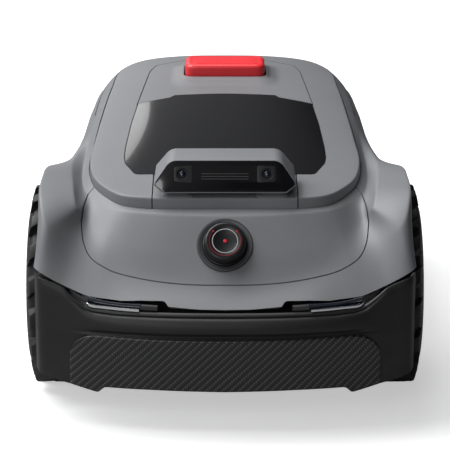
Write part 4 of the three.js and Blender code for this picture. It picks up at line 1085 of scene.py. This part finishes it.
class MOWER_OT_camera_bar(MowerOperator, bpy.types.Operator):
    """Makes the camera bar: housing, window, the two lenses with their surrounds, and the window's fine lines"""
    bl_idname = "mower.camera_bar"
    bl_label = "Camera Bar"

    def make(self):
        rings = []
        for inset, y in ((5, CAMERA["back"]), (1.6, CAMERA["back"]), (0.4, CAMERA["back"] - 0.8),
                         (0, CAMERA["back"] - 2.2)):
            ring = camera_ring(inset, 0)
            ring[:, 2] += np.interp(camera_ring(0, 0)[:, 2], (236, 245, 270), (8, 7, 3))
            ring[:, 0] *= 0.98
            ring[:, 1] = y
            rings.append(ring)
        for inset, shift in ((0, 3.2), (0.2, 1.5), (0.6, 0.5), (1.0, 0.1), (1.4, 0), (1.4, 2.9)):
            rings.append(camera_ring(inset, shift))
        rings.append(camera_ring(8, 2.9))
        add_piece("camera_body", stack(rings), "root", "camera_housing", "shell_grey", 40)
        window = make_object("camera_pane", stack([camera_ring(i, s) for i, s in (
            (1.55, 2.75), (1.55, 0.9), (1.9, 0.45), (2.4, 0.35))]), finish("gloss_black"))
        for side in (1, -1):
            hole = lathe([(0.01, -9), (7.7, -9), (7.7, 9), (0.01, 9)],
                         face_point(side * CAMERA["lens_x"], CAMERA["lens_z"]), FACE_OUT, 48)
            carve(window, "DIFFERENCE", make_object("hole", hole))
        settle(window, "root", "camera_window")
        for name, side in (("right", 1), ("left", -1)):
            self.lens(name, side)
        self.lines()

    def lens(self, name, side):
        centre = face_point(side * CAMERA["lens_x"], CAMERA["lens_z"])
        barrel = [(0.01, -3), (7.4, -3), (7.4, -0.2), (7.1, 0.25), (6.5, 0.25), (6.2, -0.1), (5.0, -1.6), (4.7, -1.7),
                  (4.5, -1.4), (4.1, -1.4), (3.9, -1.9), (0.01, -1.9)]
        lens = make_object(f"lens_{name}", lathe(barrel, centre, FACE_OUT, 48),
                           surface("Lens barrel", (0.02, 0.02, 0.022), 0.28, coat=0.2, grain=500, depth=0.00001))
        dome = [(3.85, -1.95), (3.8, -1.7), (3.3, -1.0), (2.4, -0.45), (1.2, -0.15), (0.01, -0.05)]
        glass = make_object("glass", lathe(dome, centre, FACE_OUT, 40), finish("dark_lens"))
        merge_into(lens, glass)
        settle(lens, "root", f"camera_lens_{name}")
        inner = rounded([(-9, -8), (11, -9.5), (11, 9.5), (-9, 8)], 2.5, 4)
        rings = []
        for grow, out in ((0.0, -0.3), (0.0, 0.02), (-0.5, 0.12)):
            flat = grown(inner, grow)
            rings.append([centre + FACE_OUT * out - Vector((side * x, 0, 0)) + FACE_UP * z for x, z in flat])
        frame_piece = make_object(f"lens_surround_{name}", stack(np.array([[tuple(p) for p in r] for r in rings])),
                                  surface("Lens surround", (0.009, 0.009, 0.0095), 0.42, grain=900, depth=0.00003))
        hole = lathe([(0.01, -9), (7.6, -9), (7.6, 9), (0.01, 9)], centre, FACE_OUT, 48)
        carve(frame_piece, "DIFFERENCE", make_object("hole", hole))
        settle(frame_piece, "root", None)

    def lines(self):
        unit = make_object("line", stack([[(x, y, z) for x, y in ((-25.5, 0.2), (25.5, 0.2), (25.5, -0.12),
                                                                 (-25.5, -0.12))] for z in (-0.25, 0.25)]), scale=False)
        start = metres([face_point(0, 255.8, -0.3)])[0]
        step = FACE_UP * -0.0034
        lines = repeated("window_lines", row_tree(), unit, painted("Window lines", (0.09, 0.09, 0.095)), Count=3,
                         Step=tuple(step), Centre=tuple(start), Turn=(-math.atan2(16, 34), 0.0, 0.0))
        settle(lines, "root", None)


class MOWER_OT_sensor_head(MowerOperator, bpy.types.Operator):
    """Makes the round sensor head on the nose, its seat ring and its printed rings and dot"""
    bl_idname = "mower.sensor_head"
    bl_label = "Sensor Head"

    def make(self):
        up = math.radians(SENSOR["up"])
        axis = Vector((0, -math.cos(up), math.sin(up)))
        origin = Vector((0, SENSOR["y"], SENSOR["z"]))
        seat = [(24.35, -0.8), (24.35, 0.3), (24.8, 0.75), (25.6, 0.75), (26.4, 1.3), (28.6, 2.0), (29.5, 1.8),
                (29.9, 1.1), (29.9, -0.8)]
        add_piece("sensor_seat", lathe(seat, origin, axis, 96, closed_profile=True), "root", "lidar_bezel",
                  "matte_black", 40, surface("Bezel grey", (0.075, 0.076, 0.08), 0.34, metal=0.2, grain=900))
        head = [(0.01, -14), (24, -14), (24, 1.4), (23.7, 2.2), (22.9, 2.6), (22.6, 3.3), (22.9, 4.4), (22.9, 5.6),
                (22.3, 9.2), (21.9, 11.6), (21.2, 13.1), (20.4, 13.85), (19.4, 14), (15.6, 14), (15.2, 13.75),
                (0.01, 13.75)]
        add_piece("sensor_puck", lathe(head, origin, axis, 96), "root", "lidar_head", "gloss_black", 35,
                  surface("Sensor black", (0.008, 0.008, 0.009), 0.34, grain=900, depth=0.00002))
        white = lathe([(13.15, 13.5), (13.15, 13.86), (13.95, 13.86), (13.95, 13.5)], origin, axis, 96, True)
        ring = make_object("sensor_rings", white, painted("Ring white", (0.5, 0.51, 0.53)))
        dot = lathe([(0.01, 13.6), (1.8, 13.6), (1.8, 13.9), (1.5, 13.98), (0.01, 13.98)], origin, axis, 32)
        red = painted("Ring red", (0.9, 0.02, 0.04))
        dim = painted("Arc red", (0.3, 0.008, 0.015))
        merge_into(ring, make_object("dot", dot, red), make_object("arc", self.arc(origin, axis), dim))
        for x in (-1, 1):
            spot = origin + Vector((x * 12.6, 0, 0)) + self.up_in_face(axis) * 11.2 + axis * 13.9
            merge_into(ring, make_object("spot", lathe([(0.01, -0.2), (0.85, -0.2), (0.85, 0.16), (0.01, 0.16)], spot,
                                                       axis, 20), red))
        settle(ring, "root", None)

    def up_in_face(self, axis):
        return Vector((0, axis.z, -axis.y))

    def arc(self, origin, axis):
        """A thin band round the lower part of the face, open at the top."""
        up = self.up_in_face(axis)
        start, steps = math.radians(138), 72
        rows = []
        for radius, out in ((16.55, 13.9), (16.55, 14.06), (17.15, 14.06), (17.15, 13.9)):
            row = []
            for k in range(steps + 1):
                a = start + k / steps * (math.radians(402) - start)
                row.append(tuple(origin + axis * out + Vector((math.cos(a) * radius, 0, 0))
                                 + up * (math.sin(a) * radius)))
            rows.append(row)
        rows = np.array(rows)
        points = rows.reshape(-1, 3)
        count = steps + 1
        faces = ring_faces(4, count, 0, closed=False)
        faces += [[3 * count + c, 3 * count + c + 1, c + 1, c] for c in range(steps)]
        faces += [[k * count for k in range(4)], [k * count + steps for k in range(4)][::-1]]
        return points, faces


class MOWER_OT_bumper(MowerOperator, bpy.types.Operator):
    """Makes the floating front bumper and the woven panel on its face"""
    bl_idname = "mower.bumper"
    bl_label = "Front Bumper"

    def plan(self, per=14):
        run = smooth_run(sorted(both_sides([(x, FRONT_Y + FACE_STAND + back) for x, back in BUMPER])), per)
        x = run[:, 0]
        top = np.interp(np.abs(x), *zip(*BUMPER_TOP))
        low_z = np.interp(np.abs(x), *zip(*BUMPER_LOW))
        return x, run[:, 1], top, low_z

    def make(self):
        x, y, top, low_z = self.plan()
        middle = 1 - ease(np.abs(x), 136, 168)
        fade = 1 - (x / 260) ** 2
        rows = []
        # Drop below the top edge, then setback at the middle and at the ends.
        for drop, mid_back, end_back in ((0, 11, 11), (0.6, 8.2, 9.6), (1.2, 7.2, 8.6), (2.6, 6.6, 7.6),
                                         (3.0, 8.0, 7.4), (4.2, 8.0, 6.6), (4.6, 5.4, 6.2), (5.6, 3.4, 5.6),
                                         (7.2, 1.8, 4.9), (9.5, 0.4, 4.2), (12, -0.7, 3.6)):
            rows.append(np.column_stack([x, y + (mid_back * middle + end_back * (1 - middle)) * fade, top - drop]))
        for z, mid_back, end_back in ((117, -1.4, 2.2), (114.5, -1.6, 1.6), (112.6, -1.2, 1.3), (111.2, 0.3, 1.0),
                                      (109.8, 1.6, 0.8), (108.6, 1.9, 0.6), (107.6, 1.3, 0.4), (106.9, 0.1, 0.3),
                                      (106.2, -0.5, 0.2), (105.4, -0.4, 0.1), (104.6, 0.2, 0.1), (103, 0.3, 0)):
            height = np.minimum(z, top - 13 - (117 - z) * 0.4)
            rows.append(np.column_stack([x, y + (mid_back * middle + end_back * (1 - middle)) * fade, height]))
        last = rows[-1]
        for k in range(1, 15):
            share = k / 14
            z = last[:, 2] * (1 - share) + low_z * share
            rows.append(np.column_stack([x, y + (0.3 * (1 - share) + 2.5 * share) * fade, z]))
        rows = np.array(rows)
        body = make_object("bumper_shell", wall_between(rows, behind(rows, 3.0, False), False), finish("matte_black"))
        pegs = []
        for side in (1, -1):
            pegs.append(make_object("peg", lathe([(0.01, -272), (4, -272), (4, -310), (0.01, -310)],
                                                 (side * 92, 0, 88), (0, 1, 0), 24)))
        carve(body, "UNION", *pegs)
        settle(body, "bumper", "front_bumper", 40)
        self.face()

    def face(self):
        """The woven panel: a thin skin with rounded upper corners, a soft edge, and a foot that follows the lip."""
        x, y = self.plan(20)[:2]
        grid_x = np.concatenate([[-166, -165.4, -164.4, -163], np.linspace(-161, 161, 130), [163, 164.4, 165.4, 166]])
        base_y = np.interp(grid_x, x, y)
        fade = 1 - (grid_x / 260) ** 2
        corner = np.clip((np.abs(grid_x) - 132) / 34, 0, 1)
        crest = 106.4 - 0.9 * (1 - (grid_x / 140) ** 2).clip(0, 1) - 27 * (1 - np.sqrt(1 - corner**2.4))
        foot = np.interp(np.abs(grid_x), *zip(*BUMPER_LOW)) + 0.9
        rows = []
        for down, back in ((0, 0.9), (0.5, 0.25), (1.3, 0)):
            rows.append((crest - down, back))
        for k in range(1, 16):
            share = k / 16
            rows.append(((crest - 1.3) * (1 - share) + (foot + 1) * share, 0))
        rows += [(foot + 1, 0), (foot + 0.4, 0.25), (foot, 0.9)]
        edge = ease(166 - np.abs(grid_x), 0, 2.2)
        outer = []
        for z, back in rows:
            slope = 2.5 * np.clip((106 - z) / 60, 0, 1) * fade
            outer.append(np.column_stack([grid_x, base_y + slope - FACE_STAND + back + 0.9 * (1 - edge) + 0.05, z]))
        outer = np.array(outer)
        inner = outer.copy()
        inner[:, :, 1] = np.maximum(inner[:, :, 1] + 1.0, (base_y + 2.5 * 0.5 - FACE_STAND + 2.0)[None, :])
        panel = make_object("bumper_weave", wall_between(outer, inner, False), finish("carbon_face"))
        settle(panel, "bumper", "bumper_face", 40)


class MOWER_OT_headlights(MowerOperator, bpy.types.Operator):
    """Makes the headlights under the shell's front edge: lens, bright strip, end block and corner vent"""
    bl_idname = "mower.headlights"
    bl_label = "Headlights"

    def make(self):
        for name, side in (("right", 1), ("left", -1)):
            lens = self.bar(side, [(146, -288, 143.4), (128, -292, 140.6), (108, -296.5, 139.3), (89, -300, 139.6)],
                            6.2, 3.0, 0.8)
            piece = make_object(f"headlight_pane_{name}", lens, finish("dark_lens"))
            settle(piece, "root", f"headlight_lens_{name}")
            strip = self.bar(side, [(147, -292, 139.4), (143, -294.7, 138), (128, -297.5, 136.8), (108, -301.5, 136),
                                    (91, -304.5, 135.7)], 3.0, 2.0, 0.9)
            piece = make_object(f"headlight_strip_{name}", strip, finish("bright_trim"))
            settle(piece, "root", f"headlight_trim_{name}")
            block = self.bar(side, [(88.6, -300.6, 138.9), (80, -301.4, 138.5), (71.5, -302, 138.2)], 5.4, 5, 0.9)
            piece = make_object(f"headlight_block_{name}", block,
                                surface("Block grey", (0.045, 0.045, 0.047), 0.32, grain=800, depth=0.00004))
            vent = self.bar(side, [(166, -271.5, 149), (158, -277.5, 143.8), (150, -282, 140)], 4.8, 4, 1.2)
            merge_into(piece, make_object("vent", vent, surface("Vent grey", (0.11, 0.11, 0.115), 0.4, metal=0.3)))
            settle(piece, "root", None)

    def bar(self, side, path, height, thick, radius):
        """A rounded bar whose upper front edge follows a path along the front."""
        run = smooth_run([(side * x, y, z) for x, y, z in path], 8)
        section = rounded([(0, 0), (thick, 0), (thick, -height), (0, -height)], radius, 3)
        return stack([[(p[0], p[1] + dy, p[2] + dz) for dy, dz in section] for p in run])


class MOWER_OT_wheels(MowerOperator, bpy.types.Operator):
    """Makes the four tyres with their rows of lugs and the spoked wheel discs with their bolts"""
    bl_idname = "mower.wheels"
    bl_label = "Wheels"

    def make(self):
        for corner in ("front_right", "front_left", "rear_right", "rear_left"):
            axle = FRONT_AXLE if corner.startswith("front") else REAR_AXLE
            self.wheel(corner, axle, 1 if corner.endswith("right") else -1)

    def wheel(self, corner, axle, side):
        centre = (0, axle["y"], axle["radius"])
        axis = (side, 0, 0)
        radius, inner, outer = axle["radius"], axle["inner"], axle["outer"]
        root, rim = radius - axle["lug"], radius * RIM_SHARE
        bulge = 4.5 if axle is FRONT_AXLE else 4
        tread = [(rim + 0.3, inner + 1), (rim + 6, inner), (root - 8, inner), (root - 2, inner + 1.5),
                 (root, inner + 4),
                 (root + 0.6, (inner + outer) / 2), (root, outer - 5), (root - 3, outer - 1), (root - 7, outer + 1),
                 (root - 9, outer + bulge * 0.42), (root - 10.5, outer + bulge * 0.5), (root - 16, outer + bulge * 0.9),
                 (rim + 9, outer + bulge), (rim + 4, outer + bulge - 0.4), (rim + 2, outer + bulge - 1.6),
                 (rim + 0.3, outer + bulge - 1.8)]
        tyre = make_object(f"tyre_{corner}_moulded", lathe(tread, centre, axis, 108, closed_profile=True),
                           finish("tyre_rubber"))
        width = outer - inner
        rubber = finish("tyre_rubber")
        for row, (start, end) in enumerate(((0.8, width * 0.54), (width * 0.46, width + 0.6))):
            # Each lug leans along the tread, and the outer row runs down over the tyre's shoulder.
            reach = 2 * math.pi * radius / axle["lugs"]
            lug = self.lug(axle, start + inner, end + inner, reach, row)
            turn = (0.0, math.pi / 2 * side, 0.0)
            spin = 0.5 * row
            rows = repeated("lugs", ring_tree(), lug, rubber, Count=axle["lugs"], Radius=RING_START / 1000,
                            Centre=tuple(metres([centre])[0]), Turn=turn)
            if spin:
                self.turn_about(rows, centre, 2 * math.pi / axle["lugs"] * spin)
            merge_into(tyre, rows)
        settle(tyre, f"wheel_{corner}", f"tyre_{corner}", 35)
        self.disc(corner, axle, side, rim, outer, bulge)

    def turn_about(self, obj, centre, angle):
        place = Vector(metres([centre])[0])
        obj.data.transform(Matrix.Translation(place) @ Matrix.Rotation(angle, 4, "X") @ Matrix.Translation(-place))

    def lug(self, axle, start, end, reach, row):
        """One lug, standing out along X with the axle along Z, from its foot to its worn top."""
        radius, root = axle["radius"], axle["radius"] - axle["lug"]
        lean = 0.16 * reach * (1 if row else -1)
        rings = []
        for height, half, pull in ((root - 3, 0.33, 0), (root + 0.4, 0.3, 0), (root + 1.4, 0.265, 0.4),
                                   (radius - 1.2, 0.235, 0.9), (radius - 0.3, 0.215, 1.5), (radius, 0.19, 2.2)):
            w = half * reach
            outer_end = end + (0.0 if not row else (root + 2 - height) * 0.18)
            ring = [(-w + lean, start + pull), (w * 0.55 + lean, start + pull), (w + lean * 0.2, (start + end) / 2),
                    (w * 0.8 - lean, outer_end - pull), (-w - lean, outer_end - pull), (-w * 1.0, (start + end) / 2)]
            rings.append([(math.sqrt(max(height**2 - y**2, 1)), y, z) for y, z in ring])
        return self.unit(rings)

    def unit(self, rings):
        """A unit for copies that start a millimetre out from the wheel's axis."""
        return make_object("unit", stack(np.array(rings) - np.array([RING_START, 0, 0])), scale=False)

    def disc(self, corner, axle, side, rim, outer, bulge):
        centre, axis = (0, axle["y"], axle["radius"]), (side, 0, 0)
        front = outer + bulge
        back = axle["inner"] + 16
        profile = [(0.01, back), (rim - 0.2, back), (rim - 0.2, front - 2.2), (rim - 1.2, front - 1.2),
                   (rim - 3.2, front - 1.0), (rim - 4.6, front - 1.6), (rim - 6, front - 9), (rim - 10, front - 11),
                   (rim * 0.5, front - 12), (rim * 0.36, front - 10.5), (rim * 0.33, front - 9), (0.01, front - 9)]
        disc = make_object(f"wheel_disc_{corner}", lathe(profile, centre, axis, 96), finish("rim_black"))
        count = sizes().spokes
        inner_r, outer_r = rim * 0.26, rim - 4.2
        rings = []
        for z, narrow in ((front - 13, 0.0), (front - 4.2, 0.0), (front - 2.9, 1.1)):
            rings.append([(inner_r, -4.4 + narrow, z - 0.5), (outer_r, -6.6 + narrow, z + 1.0),
                          (outer_r, 3.4 - narrow, z + 1.0), (inner_r, 5.2 - narrow, z - 0.5)])
        spokes = repeated("spokes", ring_tree(), self.unit(rings), finish("rim_black"), Count=count,
                          Radius=RING_START / 1000,
                          Centre=tuple(metres([centre])[0]), Turn=(0.0, math.pi / 2 * side, 0.0))
        hub = lathe([(0.01, front - 12), (rim * 0.3, front - 12), (rim * 0.3, front - 3.6), (rim * 0.28, front - 2.4),
                     (rim * 0.2, front - 2.0), (rim * 0.19, front - 2.6), (rim * 0.12, front - 2.6),
                     (rim * 0.115, front - 1.6), (0.01, front - 1.2)], centre, axis, 72)
        bolt_rings = [[(0.155 * rim + r * math.cos(k * math.pi / 3), r * math.sin(k * math.pi / 3), z)
                       for k in range(6)] for r, z in ((2.2, front - 4), (2.2, front - 1.5), (1.7, front - 1.1))]
        bolts = repeated("bolts", ring_tree(), self.unit(bolt_rings), finish("bare_steel"), Count=5,
                         Radius=RING_START / 1000,
                         Centre=tuple(metres([centre])[0]), Turn=(0.0, math.pi / 2 * side, 0.0))
        merge_into(disc, spokes, make_object("hub", hub, finish("rim_black")), bolts)
        settle(disc, f"wheel_{corner}", f"rim_{corner}", 35)


class MOWER_OT_rear_details(MowerOperator, bpy.types.Operator):
    """Makes the cooling slats and the cover screws on the rear and on the floor pan"""
    bl_idname = "mower.rear_details"
    bl_label = "Rear Details"

    def make(self):
        dark = finish("matte_black")
        slat = [[(x, y, z) for x, y in rounded([(-34, -0.9), (34, -0.9), (34, 1.2), (-34, 1.2)], 0.8, 3)]
                for z in (-1.3, 1.3)]
        start = metres([(0, 324.6, 196)])[0]
        slats = repeated("rear_slats", row_tree(), make_object("slat", stack(slat), scale=False), dark, Count=7,
                         Step=(0.0, 0.0, -0.0062), Centre=tuple(start), Turn=(0.0, 0.0, 0.0))
        settle(slats, "root", None)
        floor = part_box("chassis_base")[0].z * 1000
        places = [(x, y, floor) for x in (-92, 92) for y in (-240, -150, 150, 262)]
        places += [(x, 20, floor) for x in (-150, 150)]
        head = lathe([(0.01, -1.2), (2.6, -1.2), (3.2, -0.7), (3.4, 0.2), (0.01, 0.2)], (0, 0, 0), (0, 0, 1), 20)
        screws = repeated("floor_screws", point_tree(), make_object("screw", head, scale=False), finish("bare_steel"),
                          points=places)
        settle(screws, "root", None)


class MOWER_OT_frame_finishes(MowerOperator, bpy.types.Operator):
    """Gives every part that keeps its frame shape the finish of its own material slot"""
    bl_idname = "mower.frame_finishes"
    bl_label = "Frame Finishes"

    def make(self):
        slots = {part["node"]: part["material_slot"] for part in frame["record"]["subparts"]}
        for name, node in frame["nodes"].items():
            if node.hide_render:
                continue
            material = finish(slots[name])
            if not node.material_slots:
                node.data.materials.append(material)
            for place in node.material_slots:
                place.material = material


class MOWER_OT_stage(MowerOperator, bpy.types.Operator):
    """Makes the floor, the studio lights and the camera"""
    bl_idname = "mower.stage"
    bl_label = "Stage"

    def make(self):
        half = 7000
        rings = [[(-half, -half, z), (half, -half, z), (half, half, z), (-half, half, z)] for z in (-20, -0.4)]
        floor = make_object("studio_floor", stack(rings), self.floor_finish())
        self.light("key", (-1.7, 0.2, 2.4), 2.4, 78, (1.0, 1.0, 1.0))
        self.light("top", (-0.6, 0.9, 2.6), 2.0, 34, (1.0, 1.0, 1.0))
        self.light("back", (-0.98, 3.4, 1.65), 1.3, 6, (1.0, 1.0, 1.0))
        self.light("front", (-1.0, -2.8, 1.5), 1.2, 14, (1.0, 1.0, 1.0))
        self.world()
        camera = bpy.data.cameras.new("camera")
        camera.lens, camera.sensor_width = 175.2, 36
        camera.clip_end = 50
        view = bpy.data.objects.new("camera", camera)
        view.location = metres([(0, -2474.45, 934.69)])[0]
        view.rotation_euler = (math.radians(72), 0, 0)
        bpy.context.scene.collection.objects.link(view)
        bpy.context.scene.camera = view
        bpy.context.scene.view_settings.view_transform = "Standard"

    def floor_finish(self):
        """A pale floor that looks white to the camera and throws back less light than it shows."""
        material = surface("Studio floor", colours().floor, 0.75, grain=40, depth=0.0001, tone=0.01, speck=0.0,
                           spread=0.05)
        tree = material.node_tree
        shader = tree.nodes["Principled BSDF"]
        seen = tree.nodes.new("ShaderNodeLightPath").outputs["Is Camera Ray"]
        pale = shader.inputs["Base Color"].links[0].from_socket
        tree.links.new(mixed(tree, seen, (0.3, 0.3, 0.31), pale), shader.inputs["Base Color"])
        tree.links.new(mixed(tree, seen, (0.0, 0.0, 0.0), (1.0, 1.0, 1.0)), shader.inputs["Emission Color"])
        shader.inputs["Emission Strength"].default_value = 0.5
        return material

    def light(self, name, place, size, power, colour):
        data = bpy.data.lights.new(name, "AREA")
        data.shape, data.size, data.energy, data.color = "DISK", size, power, colour
        obj = bpy.data.objects.new(name, data)
        obj.location = place
        obj.rotation_euler = (Vector((0, 0, 0.15)) - Vector(place)).to_track_quat("-Z", "Y").to_euler()
        bpy.context.scene.collection.objects.link(obj)

    def world(self):
        """A studio that is lighter on the left than on the right."""
        world = bpy.data.worlds.new("studio")
        bpy.context.scene.world = world
        world.use_nodes = True
        tree = world.node_tree
        sky = tree.nodes["Background"]
        side = tree.nodes.new("ShaderNodeSeparateXYZ")
        tree.links.new(tree.nodes.new("ShaderNodeTexCoord").outputs["Generated"], side.inputs[0])
        share = calc(tree, "MULTIPLY_ADD", side.outputs[0], -3.2, 0.3, clamp=True)
        tree.links.new(mixed(tree, share, (0.03, 0.03, 0.032), (0.55, 0.56, 0.575)), sky.inputs["Color"])
        sky.inputs["Strength"].default_value = 0.55


class MOWER_PT_parts(bpy.types.Panel):
    """Lists the mower's pieces, sizes and colours"""
    bl_label = "Robotic Lawn Mower"
    bl_idname = "MOWER_PT_parts"
    bl_space_type = "VIEW_3D"
    bl_region_type = "UI"
    bl_category = "Mower"

    def draw(self, context):
        layout = self.layout
        for group in (context.scene.mower_sizes, context.scene.mower_colours):
            box = layout.box()
            for name in group.__class__.__annotations__:
                box.prop(group, name)
        for operator in OPERATORS:
            layout.operator(operator.bl_idname)


OPERATORS = (MOWER_OT_shell, MOWER_OT_deck, MOWER_OT_lid, MOWER_OT_stop_button, MOWER_OT_camera_bar,
             MOWER_OT_sensor_head, MOWER_OT_bumper, MOWER_OT_headlights, MOWER_OT_wheels, MOWER_OT_rear_details,
             MOWER_OT_frame_finishes, MOWER_OT_stage)
CLASSES = (MowerSizes, MowerColours) + OPERATORS + (MOWER_PT_parts,)


def register():
    for cls in CLASSES:
        bpy.utils.register_class(cls)
    bpy.types.Scene.mower_sizes = bpy.props.PointerProperty(type=MowerSizes)
    bpy.types.Scene.mower_colours = bpy.props.PointerProperty(type=MowerColours)


def unregister():
    del bpy.types.Scene.mower_colours
    del bpy.types.Scene.mower_sizes
    for cls in reversed(CLASSES):
        bpy.utils.unregister_class(cls)


def main():
    register()
    for operator in OPERATORS:
        group, name = operator.bl_idname.split(".")
        getattr(getattr(bpy.ops, group), name)()


if __name__ == "__main__":
    main()
